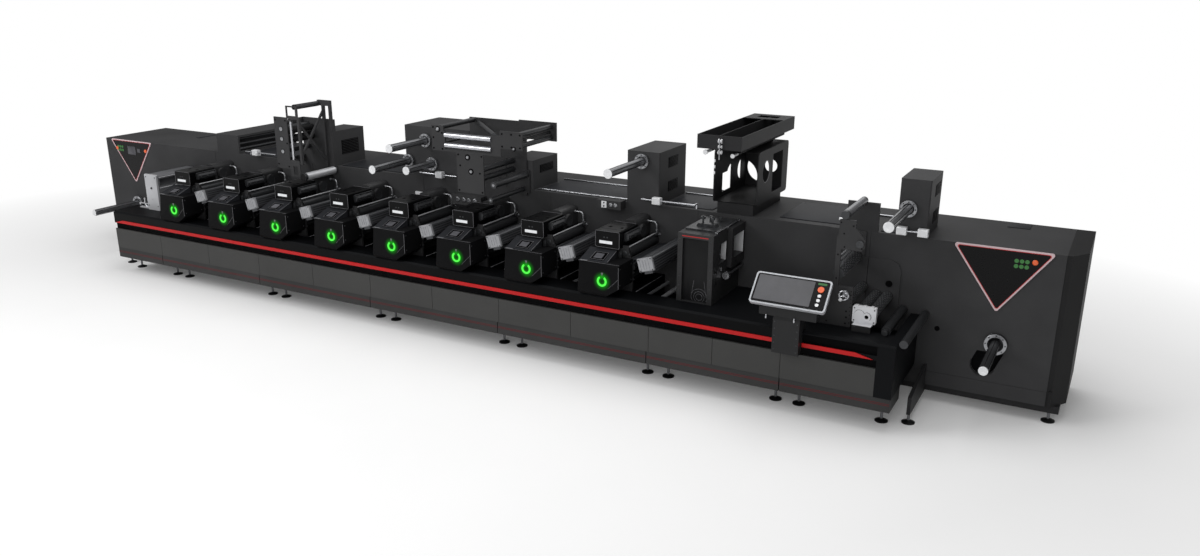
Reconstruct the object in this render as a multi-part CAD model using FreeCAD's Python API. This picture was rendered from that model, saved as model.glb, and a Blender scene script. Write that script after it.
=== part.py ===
import FreeCAD, Part
import math
import os

# A narrow-web flexographic label press: eight print units on one bed, hung from a long
# wall between an unwinder housing at the left end and a rewinder housing at the right end.
# Millimetres, +Z up, +X along the web from unwinder to rewinder, +Y from the operator to the wall.
# Inside this file X is counted from the centre of the first print unit and Y from the front of
# the unit covers. save() moves every piece so that the origin is under the middle of the press.

# Overall
PITCH = 800.0              # one print unit to the next
UNITS = 8
DECK_Z = 775.0             # deck of the bed above the floor
WALL_Y = 910.0             # front of the wall behind the unit covers
WALL_DEPTH = 943.0
WALL_TOP = 1445.0          # flat top of the wall and of both end housings
HOUSING_BASE_Z = 150.0     # lower edge of the wall and the end housings
UNWINDER_WIDTH = 1131.0
UNWINDER_TO_UNIT = 1190.0  # right side of the unwinder housing to the first unit
REWINDER_WIDTH = 1188.0
SEAM = 4.0                 # open joint between neighbouring sheet panels
SEAM_DEEP = 3.0
WALL_SEAM_0 = -275.0       # first upright seam of the wall
SKIRT_Z = 275.0            # joint between the doors and the skirt of the housings
CORNER_X = 110.0           # bevelled front corner of the rewinder housing
CORNER_Y = 162.0
POST_WIDE = 23.0           # post over the rewinder's outer foot
POST_OUT = 26.0
POST_UP = 18.0

# Bed
BED_LEFT = 1145.0          # bed beyond the first unit
BED_RIGHT = 2595.0         # bed beyond the last unit
WALL_OVER = 27.0           # wall beyond the right end of the bed
BED_FRONT = 30.0
DECK_CHAMFER = 18.0
BAND_LOW = 632.0           # lower edge of the dark band under the deck
PANEL_TOP = 562.0
PANEL_THICK = 25.0
PANEL_SEAM_0 = -345.0      # first seam of the lower panels
PANEL_SHORT = 608.0        # the shorter panels beyond the last unit
END_BLOCK = 140.0          # plain block at the right end of the bed
STRIPE_LOW = 637.0
STRIPE_TOP = 672.0
STRIPE_THICK = 8.0
STRIPE_IN = 15.0
STRIPE_TIP = 140.0         # length of the pointed end
WELL_FRONT = 285.0         # openings in the deck that the web passes down through
WELL_DEEP = 180.0
WELL_LEFT = 205.0          # left edge of an opening from its unit
RAIL_TOP = 320.0           # base beam under the lower panels
RAIL_BASE = 200.0
RAIL_DEPTH = 340.0
RAIL_SETBACK = 10.0
RAIL_OVER = 15.0           # base beam beyond the left end of the bed

# Feet and plinth
FOOT_R = 55.0
FOOT_THICK = 16.0
STEM_R = 12.0
FOOT_PAIR = 210.0          # the two feet at a joint of the base beam
FOOT_Y = 310.0
FOOT_IN = 113.0            # outer feet in from the ends
FIRST_PAIR_X = -370.0
LAST_PAIR_X = 7270.0
HOUSING_FOOT_Y = 980.0
BACK_FOOT_Y = 1750.0
BACK_FEET = 5
PLINTH_BASE = 84.0
PLINTH_SETBACK = 40.0
STRUT_THICK = 30.0
STRUT_FOOT_Y = 385.0
STRUT_TOP = 334.0
STRUT_SHOULDER = 60.0
STRUT_NOSE = 40.0
STRUT_LEFT_OUT = 270.0     # struts beyond the ends of the bed
STRUT_RIGHT_OUT = 90.0

# Print unit, from its own centre
COVER_LEFT = -250.0
COVER_RIGHT = 165.0
COVER_TOP = 1088.0
COVER_DEPTH = 280.0
COVER_EDGE = 16.0          # bevel along the upper front edge
COVER_TOE = 28.0           # bevel along the lower front edge
CORNER_RUN = 140.0         # sloping lower right corner
CORNER_RISE = 93.0
CREASE_ANGLE = 40.0        # degrees, the two creases across the cover
CREASE_HIGH = 75.0         # distance of the creases from the ring's centre
CREASE_LOW = 92.0
FACET_TILT = 9.0           # degrees, how far the facets fall back
RING_Z = 925.0
RING_R = 40.0
RING_WIDTH = 17.0
RING_THICK = 6.0
RING_GAP = 64.0            # degrees left open at the top of the ring
HOUSING_RIGHT = 30.0
HOUSING_SLOPE = 19.0       # degrees
HOUSING_FRONT = 37.0
HOUSING_BACK = 240.0
SCREEN_LEFT = -155.0
SCREEN_WIDTH = 134.0
SCREEN_HEIGHT = 118.0
SCREEN_THICK = 6.0
SCREEN_Y = 62.0
HEAD_LEFT = -191.0
HEAD_RIGHT = 60.0
HEAD_Y = 222.0
HEAD_BACK = 590.0
HEAD_BASE = 1170.0
HEAD_TOP = 1330.0
HEAD_CORNER = 16.0
DRIVE_LEFT = -100.0        # rounded drive housing behind the head
DRIVE_RIGHT = 40.0
DRIVE_TOP = 1352.0
DRIVE_CORNER = 45.0
LAMP_WIDTH = 130.0
LAMP_HEIGHT = 26.0
LAMP_Z = 1223.0
LAMP_X = -80.0
LAMP_THICK = 5.0
CHAMBER_WIDTH = 46.0       # ink chamber on the right side of the head
CHAMBER_LOW = 1238.0
CHAMBER_TOP = 1296.0
CHAMBER_Y = 312.0
CASSETTE_X = 400.0
CASSETTE_Z = 1120.0
CASSETTE_WIDTH = 140.0
CASSETTE_HEIGHT = 118.0
CASSETTE_TILT = 16.0       # degrees, right side up
CASSETTE_Y = 84.0
CASSETTE_BEVEL = 12.0
CASSETTE_GROOVE = 10.0
TRAY_WIDTH = 80.0          # dark tray under the cassette
TRAY_HEIGHT = 28.0
CAP_THICK = 26.0
CAP_OVER = 4.0
CAP_SLOT = 6.0
BEARING_THICK = 22.0
BEARING_RIGHT = 165.0
BEARING_TOP = 1196.0
BEARING_SHOULDER = 1035.0
BEARING_CUT = 40.0
BEARING_RISE = 110.0
BEARING_LUG = 58.0         # top of the bearing plate beside the head
HEAD_SEAT = 4.0
COLUMN_IN = 40.0           # column in from the sides of the head
DRIVE_GAP = 12.0
CYLINDER_X = 82.0
CYLINDER_Z = 1115.0
CYLINDER_R = 52.0
ANILOX_X = 148.0
ANILOX_Z = 1003.0
ANILOX_R = 32.0
IDLER_R = 24.0
LOW_IDLER_X = 122.0
LOW_IDLER_Z = 905.0
GUIDE_X = 138.0
GUIDE_Z = 1072.0
GUIDE_R = 11.0
NECK = 0.45                # roller neck as a share of its radius
NECK_LENGTH = 16.0

# Shafts that turn
SHAFT_R = 38.0
SHAFT_TIP_R = 44.0
SHAFT_TIP = 10.0
FLANGE_R = 72.0
FLANGE_THICK = 24.0
REEL_FLANGE_R = 92.0
LOW_SHAFT_UP = 155.0       # inner shaft above the top of the wall
SHAFT_RISE = 245.0         # upper shaft above the inner one
LOW_SHAFT_STEP = 8.0
UPPER_SHAFT_FROM = 290.0   # shafts from the left side of their box, and the depth of their tips
UPPER_SHAFT_TIP = 300.0
LOW_SHAFT_FROM = 50.0
INNER_SHAFT_FROM = 365.0
INNER_SHAFT_TIP = 455.0
MID_SHAFT_FROM = 163.0
MID_SHAFT_DOWN = 91.0
MID_SHAFT_TIP = 208.0
WASTE_SHAFT_FROM = 85.0
WASTE_SHAFT_DOWN = 249.0
WASTE_SHAFT_TIP = 185.0
REEL_FLANGE_THICK = 30.0
JOURNAL_R = 30.0
JOURNAL_DEPTH = 90.0
JOURNAL_END = 6.0
RUNNING_FIT = 0.05
FLANGE_CLEAR = 8.0         # flange to the housing behind it
REEL_SHAFT_TIP_Y = 233.0
REEL_Z = 627.0
UNWIND_IN = 628.0          # unwind shaft from the wall side of its housing
REWIND_IN = 604.0
SLOT_R = 98.0              # slanted opening below the rewind shaft
SLOT_SHIFT = -81.0
SLOT_DROP = -206.0
SLOT_DEEP = 40.0
SLOT_COVER = 85.0          # sliding cover from the shaft down to this distance

# First station
STATION_X = -742.0
STATION_WIDTH = 206.0
STATION_Y = 300.0
STATION_TOP = 1214.0
STATION_LOW = 970.0
STATION_WINDOW = 290.0
STATION_WINDOW_FROM = 30.0
STATION_WINDOW_IN = 84.0
STATION_WINDOW_LOW = 1069.0
STATION_WINDOW_TOP = 1159.0
STATION_IN = 6.0
STATION_CHAMFER = 20.0
STATION_FOOT = 200.0
STATION_FOOT_IN = 40.0
STATION_PLATE_HOLES = ((1047.0, 16.0), (907.0, 9.0))
PLATE_THICK = 24.0
PLATE_CHAMFER = 8.0

# Box on the wall beside the unwinder
INFEED_LEFT = -219.0
INFEED_RIGHT = 146.0
INFEED_TOP = 1665.0
INFEED_RIM = 26.0
INFEED_DEEP = 90.0
INFEED_ROD_R = 17.0

# Tower with crossed braces
TOWER_LEFT = 415.0         # from the second unit
TOWER_WIDTH = 475.0
TOWER_FRONT = 490.0
TOWER_TOP = 2180.0
TOWER_BAR = 30.0
TOWER_SHEET = 14.0
FACE_WIDTH = 192.0
FACE_LOW = 1455.0
FACE_TOP = 2024.0
FACE_CORNER = 30.0
LOOP_HIGH = 130.0
BRACE_BAR = 22.0
TOWER_PANEL_TOP = 1967.0
TOWER_LINK = 90.0
CHROME_POST_R = 17.0
CHROME_POST_IN = 22.0
BRACE_IN = 130.0           # plane of the braces from the right side
BRACE_LOW = 1500.0
BRACE_STEP = 98.0
ARM = 60.0                 # arm at the top that carries the roller's rear end
LOOP_WIDTH = 165.0
LOOP_LAP = 12.0
LOOP_SILL = 34.0
TOWER_FOOT = 142.0         # bracket at the foot of the front
TOWER_FOOT_UP = 98.0
TOWER_FOOT_DOWN = 83.0
SEAT_WIDTH = 60.0
SEAT_DEPTH = 76.0
TOWER_ROLL_R = 28.0
TOWER_GUIDES = ((130.0, 30.0), (240.0, 26.0), (380.0, 26.0))
LOW_ROLL_R = 42.0
LOW_ROLL_FROM = 112.0
LOW_ROLL_GAP = 2.0
LOW_ROLL_OUT = 90.0

# Boxes on the wall
BOX_CORNER = 14.0
BOX_ABOVE_SHAFT = 143.0    # top of the centre box above the upper shaft
BOX_MID = 1946.0
BOX_RIGHT = 1932.0
BOX_LOW = 1745.0
BOX_TOWER = 1832.0
BOX_DEPTH = 620.0
LOW_BOX_DEPTH = 490.0
TALL_BOX_FROM = 300.0      # from the fourth unit
TALL_BOX = 860.0
LOW_BOX = 322.0
MID_BOX_FROM = 580.0       # from the seventh unit
MID_BOX = 342.0
RIGHT_BOX_IN = 262.0       # from the right end of the bed
RIGHT_BOX = 250.0
TOWER_BOX = 295.0
SENSOR_WIDTH = 260.0       # flat box at the wall's upper edge
SENSOR_GAP = 10.0
SENSOR_OUT = 105.0
SENSOR_DOWN = 67.0
SENSOR_UP = 15.0
KNOB_BOX_LEFT = 180.0      # box with knobs, left of the centre frame
KNOB_BOX = 380.0
KNOB_BOX_OUT = 100.0
KNOB_BOX_LOW = 1220.0
KNOB_BOX_TOP = 1320.0

# Plates and bars at the centre
NIP_LEFT = 340.0           # from the fifth unit
NIP_Y = 300.0
NIP_THICK = 16.0
NIP_TOP = 2131.0
NIP_LOW = 1885.0
NIP_SIDE = 160.0           # left plate beside the window
NIP_WINDOW = 540.0
NIP_WINDOW_LOW = 1905.0
NIP_WINDOW_TOP = 2080.0
NIP_BAR_R = 26.0
NIP_END = 350.0            # right plates beyond the window
NIP_END_LOW = 1963.0
NIP_FACE_IN = 290.0        # lower front plate from the left edge
NIP_FACE = 313.0
NIP_FACE_LOW = 1495.0
NIP_FACE_HOLES = ((0.42, 0.9), (0.53, 0.55))
NIP_HOLE_R = 18.0
NIP_SHOULDER = 50.0        # the plate over the window is lower than the side plates
NIP_END_FROM = 100.0       # right plate from the window
TIE_R = 14.0
NIP_TIE_IN = 60.0
NIP_BAR_GAP = 12.0
NIP_POST = 84.0            # rear column
NIP_POST_IN = 68.0
NIP_POST_DOWN = 60.0
NIP_ARM_UP = 200.0
NIP_ROLL_R = 24.0
NIP_ROLL_IN = 4.0
NIP_EDGE_ROLL_IN = 45.0
ARM_ROLL_FROM = 10.0       # rollers on the rear column's arm, free at the front
ARM_ROLL_UP = 155.0
ARM_ROLL_R = 32.0
ARM_ROLL_LOW_IN = 27.0
FACE_ROLL_IN = 156.0       # rollers behind the lower front plate
FACE_ROLL_UP = 283.0
FACE_ROLL_UP2 = 196.0
FACE_ROLL_R = 29.0
TURN_BAR_UP = 6.0          # bar at 45 degrees above the window
TURN_BAR_OVER = 82.0
TURN_BAR_R = 20.0

# Rails on the wall
ROD_R = 10.0
ROD_Y = 872.0
ROD_BELOW_SHAFT = 31.0      # open space between a rail and the flange above it
BLOCK = 82.0
BLOCK_R = 33.0
BLOCK_EDGE = 5.0
BLOCK_CLEAR = 0.3
STAY = 12.0
STAY_BACK = 34.0           # how far a stay reaches back over the wall's edge
LEFT_RAIL_IN = 495.0       # left end of the first rail before the second unit
LEFT_RAIL = 490.0
LEFT_BLOCK = 132.0         # block from the left end of its rail
INNER_RAIL_FROM = 215.0    # from the left side of the widest box
INNER_RAIL = 485.0
INNER_BLOCK = 225.0
MID_RAIL_FROM = 175.0      # from the left side of the middle box
MID_RAIL = 555.0
MID_BLOCK = 125.0
RIGHT_RAIL = 257.0
RIGHT_BLOCK = 175.0
LINE_R = 9.0               # light rods that frame the hatches on the wall top
LINE_GAP = 15.0
LINE_NEAR = 60.0
LINE_FAR = 600.0

# Die-cutting station
DIE_LEFT = 615.0           # from the last unit
DIE_WIDTH = 335.0
DIE_Y = 255.0
DIE_TOP = 1400.0
DIE_COLUMN = 47.0
DIE_PLATE = 14.0
DIE_ROLL_R = 70.0
DIE_BACK = 60.0
DIE_SILL = 10.0            # open bay above the deck and below the top
DIE_LINTEL = 45.0
DIE_REAR_OUT = 45.0        # bearing housing at the rear of the right side
DIE_REAR_Y = 590.0
DIE_REAR_LOW = 1040.0
# Windows in the right side: from and to along the depth, lower and upper edge
DIE_WINDOWS = ((406.0, 560.0, 1120.0, 1295.0), (635.0, 870.0, 1125.0, 1325.0))
DIE_GUARD_IN = 20.0
DIE_GUARD = 8.0
DIE_TOP_IN = 15.0
DIE_TOP_FROM = 125.0
DIE_BRIDGE_IN = 235.0      # bridge of the pressure screws
DIE_BRIDGE = 65.0
DIE_BRIDGE_HALF = 95.0
DIE_BRIDGE_HIGH = 26.0
DIE_SCREW_X = 45.0
DIE_SCREW_R = 9.0
DIE_SCREW = 92.0
DIE_KNOB_R = 22.0
DIE_POST_R = 15.0
DIE_POST_BACK = 190.0
SIDE_BAR_OUT = 36.0        # bar on the right side
SIDE_BAR_Z = 994.0
SIDE_BAR_R = 13.0
SIDE_KNOB_R = 33.0

# Console
CONSOLE_FROM_UNIT = 1730.0
CONSOLE_WIDTH = 632.0
CONSOLE_SLANT = 290.0
CONSOLE_THICK = 34.0
CONSOLE_LOW_Y = -108.0
CONSOLE_LOW_Z = 1003.0
CONSOLE_TILT = 45.0
CONSOLE_CORNER = 26.0
CONSOLE_CASE = 480.0       # case under the slab
CASE_LOW = 890.0
CASE_IN = 16.0
CASE_HEEL = 60.0
BRACKET_BACK = 70.0
BRACKET_WIDTH = 225.0
BRACKET_FRONT = -60.0
BRACKET_LOW = 580.0
BRACKET_TOP = 868.0

# Hoist
HOIST_LEFT = 665.0         # from the last unit
HOIST_WIDTH = 425.0
HOIST_BACK = 825.0         # depth of the housing behind the wall's front
HOIST_LOW = 1545.0
HOIST_TOP = 2030.0
HOIST_SHEET = 10.0
HOIST_CORNER = 34.0
BEAM_WIDTH = 405.0
BEAM_FRONT = 425.0
BEAM_BACK = 13.0           # end of the beam in front of the wall's back
BEAM_GAP = 90.0            # housing top to beam
BEAM_HEIGHT = 120.0
BEAM_SHEET = 6.0
BEAM_IN = 30.0
BRIDGE_DEPTH = 310.0       # plate over the rear end of the trough
BRIDGE_SLOT = 100.0
HOIST_FOOT_IN = 40.0
NECK_IN = 90.0
NECK_WIDTH = 205.0
LEFT_ROD = 55.0            # rods under the beam that the carriage runs on
LEFT_ROD_R = 14.0
LEFT_ROD_TIP = 560.0
RIGHT_ROD = 335.0
RIGHT_ROD_R = 11.0
RIGHT_ROD_TIP = 487.0
CARRIAGE_Z = 2064.0
HANGER = 18.0
HOIST_DOOR_Y = 200.0       # opening in the left side
HOIST_DOOR = 224.0
HOIST_DOOR_LOW = 1598.0
HOIST_DOOR_TOP = 1775.0
# Round parts of the left openings: from, to, lowest height, centre back, centre height, radius
HOIST_LEFT_HOLES = ((302.0, 424.0, 1700.0, 424.0, 1712.0, 122.0), (560.0, 683.0, 1600.0, 683.0, 1738.0, 93.0))
HOIST_HOLE_Y = 210.0       # round opening and slot in the right side
HOIST_HOLE_Z = 1830.0
HOIST_HOLE_R = 100.0
HOIST_SLOT_Y = 390.0
HOIST_SLOT = 280.0
HOIST_SLOT_LOW = 1600.0
HOIST_SLOT_TOP = 1960.0
LENS_X = 165.0             # openings in the back
LENS_Z = 1740.0
LENS_R = 140.0
LENS_X2 = -35.0
LENS_Z2 = 1640.0
LENS_R2 = 166.0
BACK_HOLE_X = 265.0
BACK_HOLE_Z = 1765.0
BACK_HOLE_R = 62.0

# Slitter
SLIT_FROM_UNIT = 2035.0
SLIT_Y = 300.0
SLIT_THICK = 18.0
SLIT_TOP = 1676.0
SLIT_WIDTH = 190.0
SLIT_LOW = 1428.0
SLIT_REAR_LEFT = 126.0     # plate that carries the rear ends of the rollers
SLIT_REAR_RIGHT = 147.0
FRAME_LEFT = -260.0
FRAME_WIDTH = 385.0
FRAME_TOP = 1119.0
SLIT_CORNER = 30.0
SLIT_NECK_LEFT = 27.0
SLIT_POST = 41.0
BOSS_R = 34.0
BOSS_THICK = 10.0
TOP_ROLL_R = 34.0
TOP_ROLL_FROM = 10.0
# Rollers behind the slitter's plate: from its left edge, below its shoulder, radius
SLIT_ROLLS = ((-14.0, 78.0, 12.0), (-14.0, 120.0, 12.0), (-10.0, 210.0, 46.0), (65.0, 469.0, 40.0))
PINCH_WIDTH = 192.0
PINCH_LOW = 830.0
PINCH_TOP = 968.0
PINCH_THICK = 42.0
PINCH_R = 44.0
PINCH_GAP = 10.0
PINCH_DISC_R = 40.0
PINCH_RING_R = 34.0
PINCH_SHEET = 16.0
PINCH_FOOT_IN = 20.0
PINCH_FOOT_OUT = 60.0
PAD_THICK = 12.0           # raised pad on the wall behind the slitter
PAD_TOP = 1222.0
PAD_LOW = 800.0
PAD_CORNER = 90.0
PAD_STEP = 55.0
PAD_CLEAR = 8.0
OUTLET_R = 38.0            # last roller over the end of the deck
OUTLET_NECK = 20.0
OUTLET_JOURNAL = 55.0
END_ROLL_R = 34.0          # roller beyond the end of the bed
END_ROLL_GAP = 14.0
END_ROLL_IN = 40.0

# Triangular panels
TRI_WIDTH = 726.0
TRI_TOP = 1432.0
TRI_HEIGHT = 524.0
TRI_THICK = 10.0
TRI_CORNER = 22.0
TRI_IN = 209.0             # right panel from the wall side of its housing


def unit_x(i):
    return i * PITCH


def box(x0, x1, y0, y1, z0, z1):
    return Part.makeBox(x1 - x0, y1 - y0, z1 - z0, FreeCAD.Vector(x0, y0, z0))


def rod_y(x, z, r, y0, y1):
    return Part.makeCylinder(r, y1 - y0, FreeCAD.Vector(x, y0, z), FreeCAD.Vector(0, 1, 0))


def rod_x(y, z, r, x0, x1):
    return Part.makeCylinder(r, x1 - x0, FreeCAD.Vector(x0, y, z), FreeCAD.Vector(1, 0, 0))


def rod_z(x, y, r, z0, z1):
    return Part.makeCylinder(r, z1 - z0, FreeCAD.Vector(x, y, z0))


def prism(points, push):
    face = Part.Face(Part.makePolygon(points + points[:1]))
    return face.extrude(push)


def along_x(outline, x0, x1):
    """A prism: an outline of (y, z) points, pushed from x0 to x1."""
    return prism([FreeCAD.Vector(x0, y, z) for y, z in outline], FreeCAD.Vector(x1 - x0, 0, 0))


def along_y(outline, y0, y1):
    """A prism: an outline of (x, z) points, pushed from y0 to y1."""
    return prism([FreeCAD.Vector(x, y0, z) for x, z in outline], FreeCAD.Vector(0, y1 - y0, 0))


def along_z(outline, z0, z1):
    """A prism: an outline of (x, y) points, pushed from z0 to z1."""
    return prism([FreeCAD.Vector(x, y, z0) for x, y in outline], FreeCAD.Vector(0, 0, z1 - z0))


def edges_along(shape, axis):
    """The straight edges that run along one axis: 0 for X, 1 for Y, 2 for Z."""
    found = []
    for edge in shape.Edges:
        if len(edge.Vertexes) != 2:
            continue
        step = edge.Vertexes[1].Point - edge.Vertexes[0].Point
        if step.Length > 1e-6 and abs(abs(step[axis]) / step.Length - 1) < 1e-6:
            found.append(edge)
    return found


def turned(shape, x, y, z, axis, degrees):
    shape.rotate(FreeCAD.Vector(x, y, z), axis, degrees)
    return shape


def joined(first, *others):
    return first.fuse(list(others)).removeSplitter()


# Places that follow from the sizes above
LAST_X = unit_x(UNITS - 1)
BED_X0 = -BED_LEFT
BED_X1 = LAST_X + BED_RIGHT
WALL_X0 = -UNWINDER_TO_UNIT
WALL_X1 = BED_X1 + WALL_OVER
WALL_BACK = WALL_Y + WALL_DEPTH
PRESS_X0 = WALL_X0 - UNWINDER_WIDTH
PRESS_X1 = WALL_X1 + REWINDER_WIDTH
CONSOLE_X = LAST_X + CONSOLE_FROM_UNIT
LOW_SHAFT_Z = WALL_TOP + LOW_SHAFT_UP
UPPER_SHAFT_Z = LOW_SHAFT_Z + SHAFT_RISE
BOX_TALL = UPPER_SHAFT_Z + BOX_ABOVE_SHAFT
ROD_Z = LOW_SHAFT_Z - FLANGE_R - ROD_BELOW_SHAFT
UNWIND_X = WALL_X0 - UNWIND_IN
REWIND_X = WALL_X1 + REWIND_IN
UP_X = FreeCAD.Vector(1, 0, 0)
UP_Y = FreeCAD.Vector(0, 1, 0)
MID_X = (PRESS_X0 + PRESS_X1) / 2
MID_Y = (CONSOLE_LOW_Y + WALL_BACK) / 2

os.makedirs("parts", exist_ok=True)


def save(name, solids):
    """Writes one node: one solid, or like solids that don't touch."""
    shape = solids[0] if len(solids) == 1 else Part.Compound(solids)
    shape = shape.copy()
    shape.translate(FreeCAD.Vector(-MID_X, -MID_Y, 0))
    shape.exportStep("parts/" + name + ".step")


# Bed: deck, dark band, recess behind the slots, wells in the deck
core_front = BED_FRONT + PANEL_THICK
bed_outline = [
    (core_front, RAIL_TOP),
    (core_front, BAND_LOW),
    (BED_FRONT, BAND_LOW),
    (BED_FRONT, DECK_Z - DECK_CHAMFER),
    (BED_FRONT + DECK_CHAMFER, DECK_Z),
    (WALL_Y, DECK_Z),
    (WALL_Y, RAIL_TOP),
]
bed = along_x(bed_outline, BED_X0, BED_X1)
wells = []
for i in range(UNITS):
    x = unit_x(i)
    right = x + PITCH + COVER_LEFT
    if i == UNITS - 1:
        right = x + DIE_LEFT
    wells.append(box(x + WELL_LEFT, right, WELL_FRONT, WALL_Y + 1, DECK_Z - WELL_DEEP, DECK_Z + 1))
well_x0 = LAST_X + SLIT_FROM_UNIT + FRAME_LEFT + FRAME_WIDTH
well_x1 = BED_X1 - END_BLOCK / 2
wells.append(box(well_x0, well_x1, WELL_FRONT, WALL_Y + 1, DECK_Z - WELL_DEEP, DECK_Z + 1))
bed = bed.cut(wells)
end_block = box(BED_X1 - END_BLOCK, BED_X1, BED_FRONT, core_front, RAIL_TOP, BAND_LOW)
bed = joined(bed, end_block)
slot_x0 = CONSOLE_X + BRACKET_WIDTH / 2 + 2 * SEAM
bed = bed.cut(box(slot_x0, BED_X1 - END_BLOCK, BED_FRONT - 1, core_front,
                  STRIPE_TOP, DECK_Z - DECK_CHAMFER * 1.5))

# Lower panels with their seams
seams = [PANEL_SEAM_0 + i * PITCH for i in range(UNITS + 1)]
seams += [seams[-1] + PANEL_SHORT, seams[-1] + 2 * PANEL_SHORT]
panel_edges = [BED_X0] + seams + [BED_X1 - END_BLOCK]
panels = []
for left, right in zip(panel_edges, panel_edges[1:]):
    panels.append(box(left + SEAM / 2, right - SEAM / 2, BED_FRONT, core_front,
                      RAIL_TOP + SEAM, PANEL_TOP))

# Raised stripe, pointed at both ends
stripe_x0 = BED_X0 + STRIPE_IN
stripe_x1 = BED_X1 - END_BLOCK - 2 * STRIPE_IN
stripe_outline = [
    (stripe_x0, STRIPE_LOW),
    (stripe_x0 + STRIPE_TIP, STRIPE_TOP),
    (stripe_x1 - STRIPE_TIP, STRIPE_TOP),
    (stripe_x1, STRIPE_LOW),
]
stripe = along_y(stripe_outline, BED_FRONT - STRIPE_THICK, BED_FRONT)

# Base beam modules
pair_x = [FIRST_PAIR_X + i * 2 * PITCH for i in range(UNITS // 2 + 1)]
pair_x.append(LAST_PAIR_X)
rail_edges = [BED_X0 - RAIL_OVER] + pair_x + [BED_X1]
rail_front = BED_FRONT + RAIL_SETBACK
rails = []
for left, right in zip(rail_edges, rail_edges[1:]):
    rails.append(box(left + SEAM, right - SEAM, rail_front, rail_front + RAIL_DEPTH,
                     RAIL_BASE, RAIL_TOP))


def foot(x, y, top):
    """A levelling foot: round pad, cone and screw."""
    outline = [(0, 0), (FOOT_R, 0), (FOOT_R, FOOT_THICK * 0.5), (STEM_R, FOOT_THICK * 1.5),
               (STEM_R, top), (0, top)]
    points = [FreeCAD.Vector(x + r, y, z) for r, z in outline]
    face = Part.Face(Part.makePolygon(points + points[:1]))
    return face.revolve(FreeCAD.Vector(x, y, 0), FreeCAD.Vector(0, 0, 1), 360)


strut_x = [BED_X0 - STRUT_LEFT_OUT, BED_X1 + STRUT_RIGHT_OUT]
feet = [foot(BED_X0 + STEM_R, FOOT_Y, RAIL_BASE), foot(BED_X1 - FOOT_IN, FOOT_Y, RAIL_BASE)]
for x in pair_x:
    feet.append(foot(x - FOOT_PAIR / 2, FOOT_Y, RAIL_BASE))
    feet.append(foot(x + FOOT_PAIR / 2, FOOT_Y, RAIL_BASE))
corner_x = [PRESS_X0 + FOOT_IN, PRESS_X1 - FOOT_IN]
for x in corner_x:
    feet.append(foot(x, HOUSING_FOOT_Y, PLINTH_BASE))
for i in range(BACK_FEET):
    x = corner_x[0] + (corner_x[1] - corner_x[0]) * i / (BACK_FEET - 1)
    feet.append(foot(x, BACK_FOOT_Y, PLINTH_BASE))
for x in strut_x:
    feet.append(foot(x, STRUT_FOOT_Y, PLINTH_BASE))

# Wall with the box beside the unwinder and the pad behind the slitter
wall = box(WALL_X0, WALL_X1, WALL_Y, WALL_BACK, HOUSING_BASE_Z, WALL_TOP)
infeed = box(INFEED_LEFT, INFEED_RIGHT, WALL_Y, WALL_BACK, WALL_TOP, INFEED_TOP)
niche = box(INFEED_RIGHT - INFEED_DEEP, INFEED_RIGHT + 1, WALL_Y + INFEED_RIM, WALL_BACK - INFEED_RIM,
            WALL_TOP + INFEED_RIM, INFEED_TOP - INFEED_RIM)
infeed = infeed.cut(niche)
pad_left = LAST_X + SLIT_FROM_UNIT + FRAME_LEFT
pad_step = LAST_X + SLIT_FROM_UNIT + PAD_STEP
pad_right = BED_X1 - END_BLOCK - OUTLET_R - PAD_CLEAR
pad_outline = [
    (pad_left, PAD_LOW),
    (pad_right, PAD_LOW),
    (pad_right, PAD_TOP - PAD_CORNER),
    (pad_right - PAD_CORNER * 0.29, PAD_TOP - PAD_CORNER * 0.29),
    (pad_right - PAD_CORNER, PAD_TOP),
    (pad_step, PAD_TOP),
    (pad_step, WALL_TOP),
    (pad_left, WALL_TOP),
]
pad = along_y(pad_outline, WALL_Y - PAD_THICK, WALL_Y)
plug = rod_y(pad_right - PAD_CORNER, (PAD_TOP + PAD_LOW) / 2, BOSS_R, WALL_Y - 1.5 * PAD_THICK,
             WALL_Y - PAD_THICK)
wall = joined(wall, infeed, pad, plug)
for i in range(UNITS // 2 + 2):
    x = WALL_SEAM_0 + i * 2 * PITCH
    wall = wall.cut(box(x, x + SEAM, WALL_Y - PAD_THICK - 1, WALL_Y + SEAM_DEEP, DECK_Z, WALL_TOP + 1))
wall = wall.cut(box(WALL_X0, WALL_X1, WALL_Y - 1, WALL_Y + SEAM_DEEP, SKIRT_Z, SKIRT_Z + SEAM))

# End housings
unwinder = box(PRESS_X0, WALL_X0, WALL_Y, WALL_BACK, HOUSING_BASE_Z, WALL_TOP)
rewinder_outline = [
    (WALL_X1, WALL_Y),
    (PRESS_X1 - CORNER_X, WALL_Y),
    (PRESS_X1, WALL_Y + CORNER_Y),
    (PRESS_X1, WALL_BACK),
    (WALL_X1, WALL_BACK),
]
rewinder = along_z(rewinder_outline, HOUSING_BASE_Z, WALL_TOP)
post_x0 = PRESS_X1 - CORNER_X - POST_WIDE
post_x1 = PRESS_X1 - CORNER_X
skirt = box(PRESS_X0 - 1, post_x0 - 4 * SEAM, WALL_Y - 1, WALL_Y + SEAM_DEEP, SKIRT_Z, SKIRT_Z + SEAM)
unwinder = unwinder.cut(skirt)
rewinder = rewinder.cut(skirt)
slot_run = math.hypot(SLOT_SHIFT, SLOT_DROP)
nx = -SLOT_DROP / slot_run * SLOT_R
nz = SLOT_SHIFT / slot_run * SLOT_R
slot_x = REWIND_X + SLOT_SHIFT
slot_z = REEL_Z + SLOT_DROP
slot_body = along_y([(REWIND_X - nx, REEL_Z - nz), (REWIND_X + nx, REEL_Z + nz),
                     (slot_x + nx, slot_z + nz), (slot_x - nx, slot_z - nz)], WALL_Y - 1, WALL_Y + SLOT_DEEP)
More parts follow.
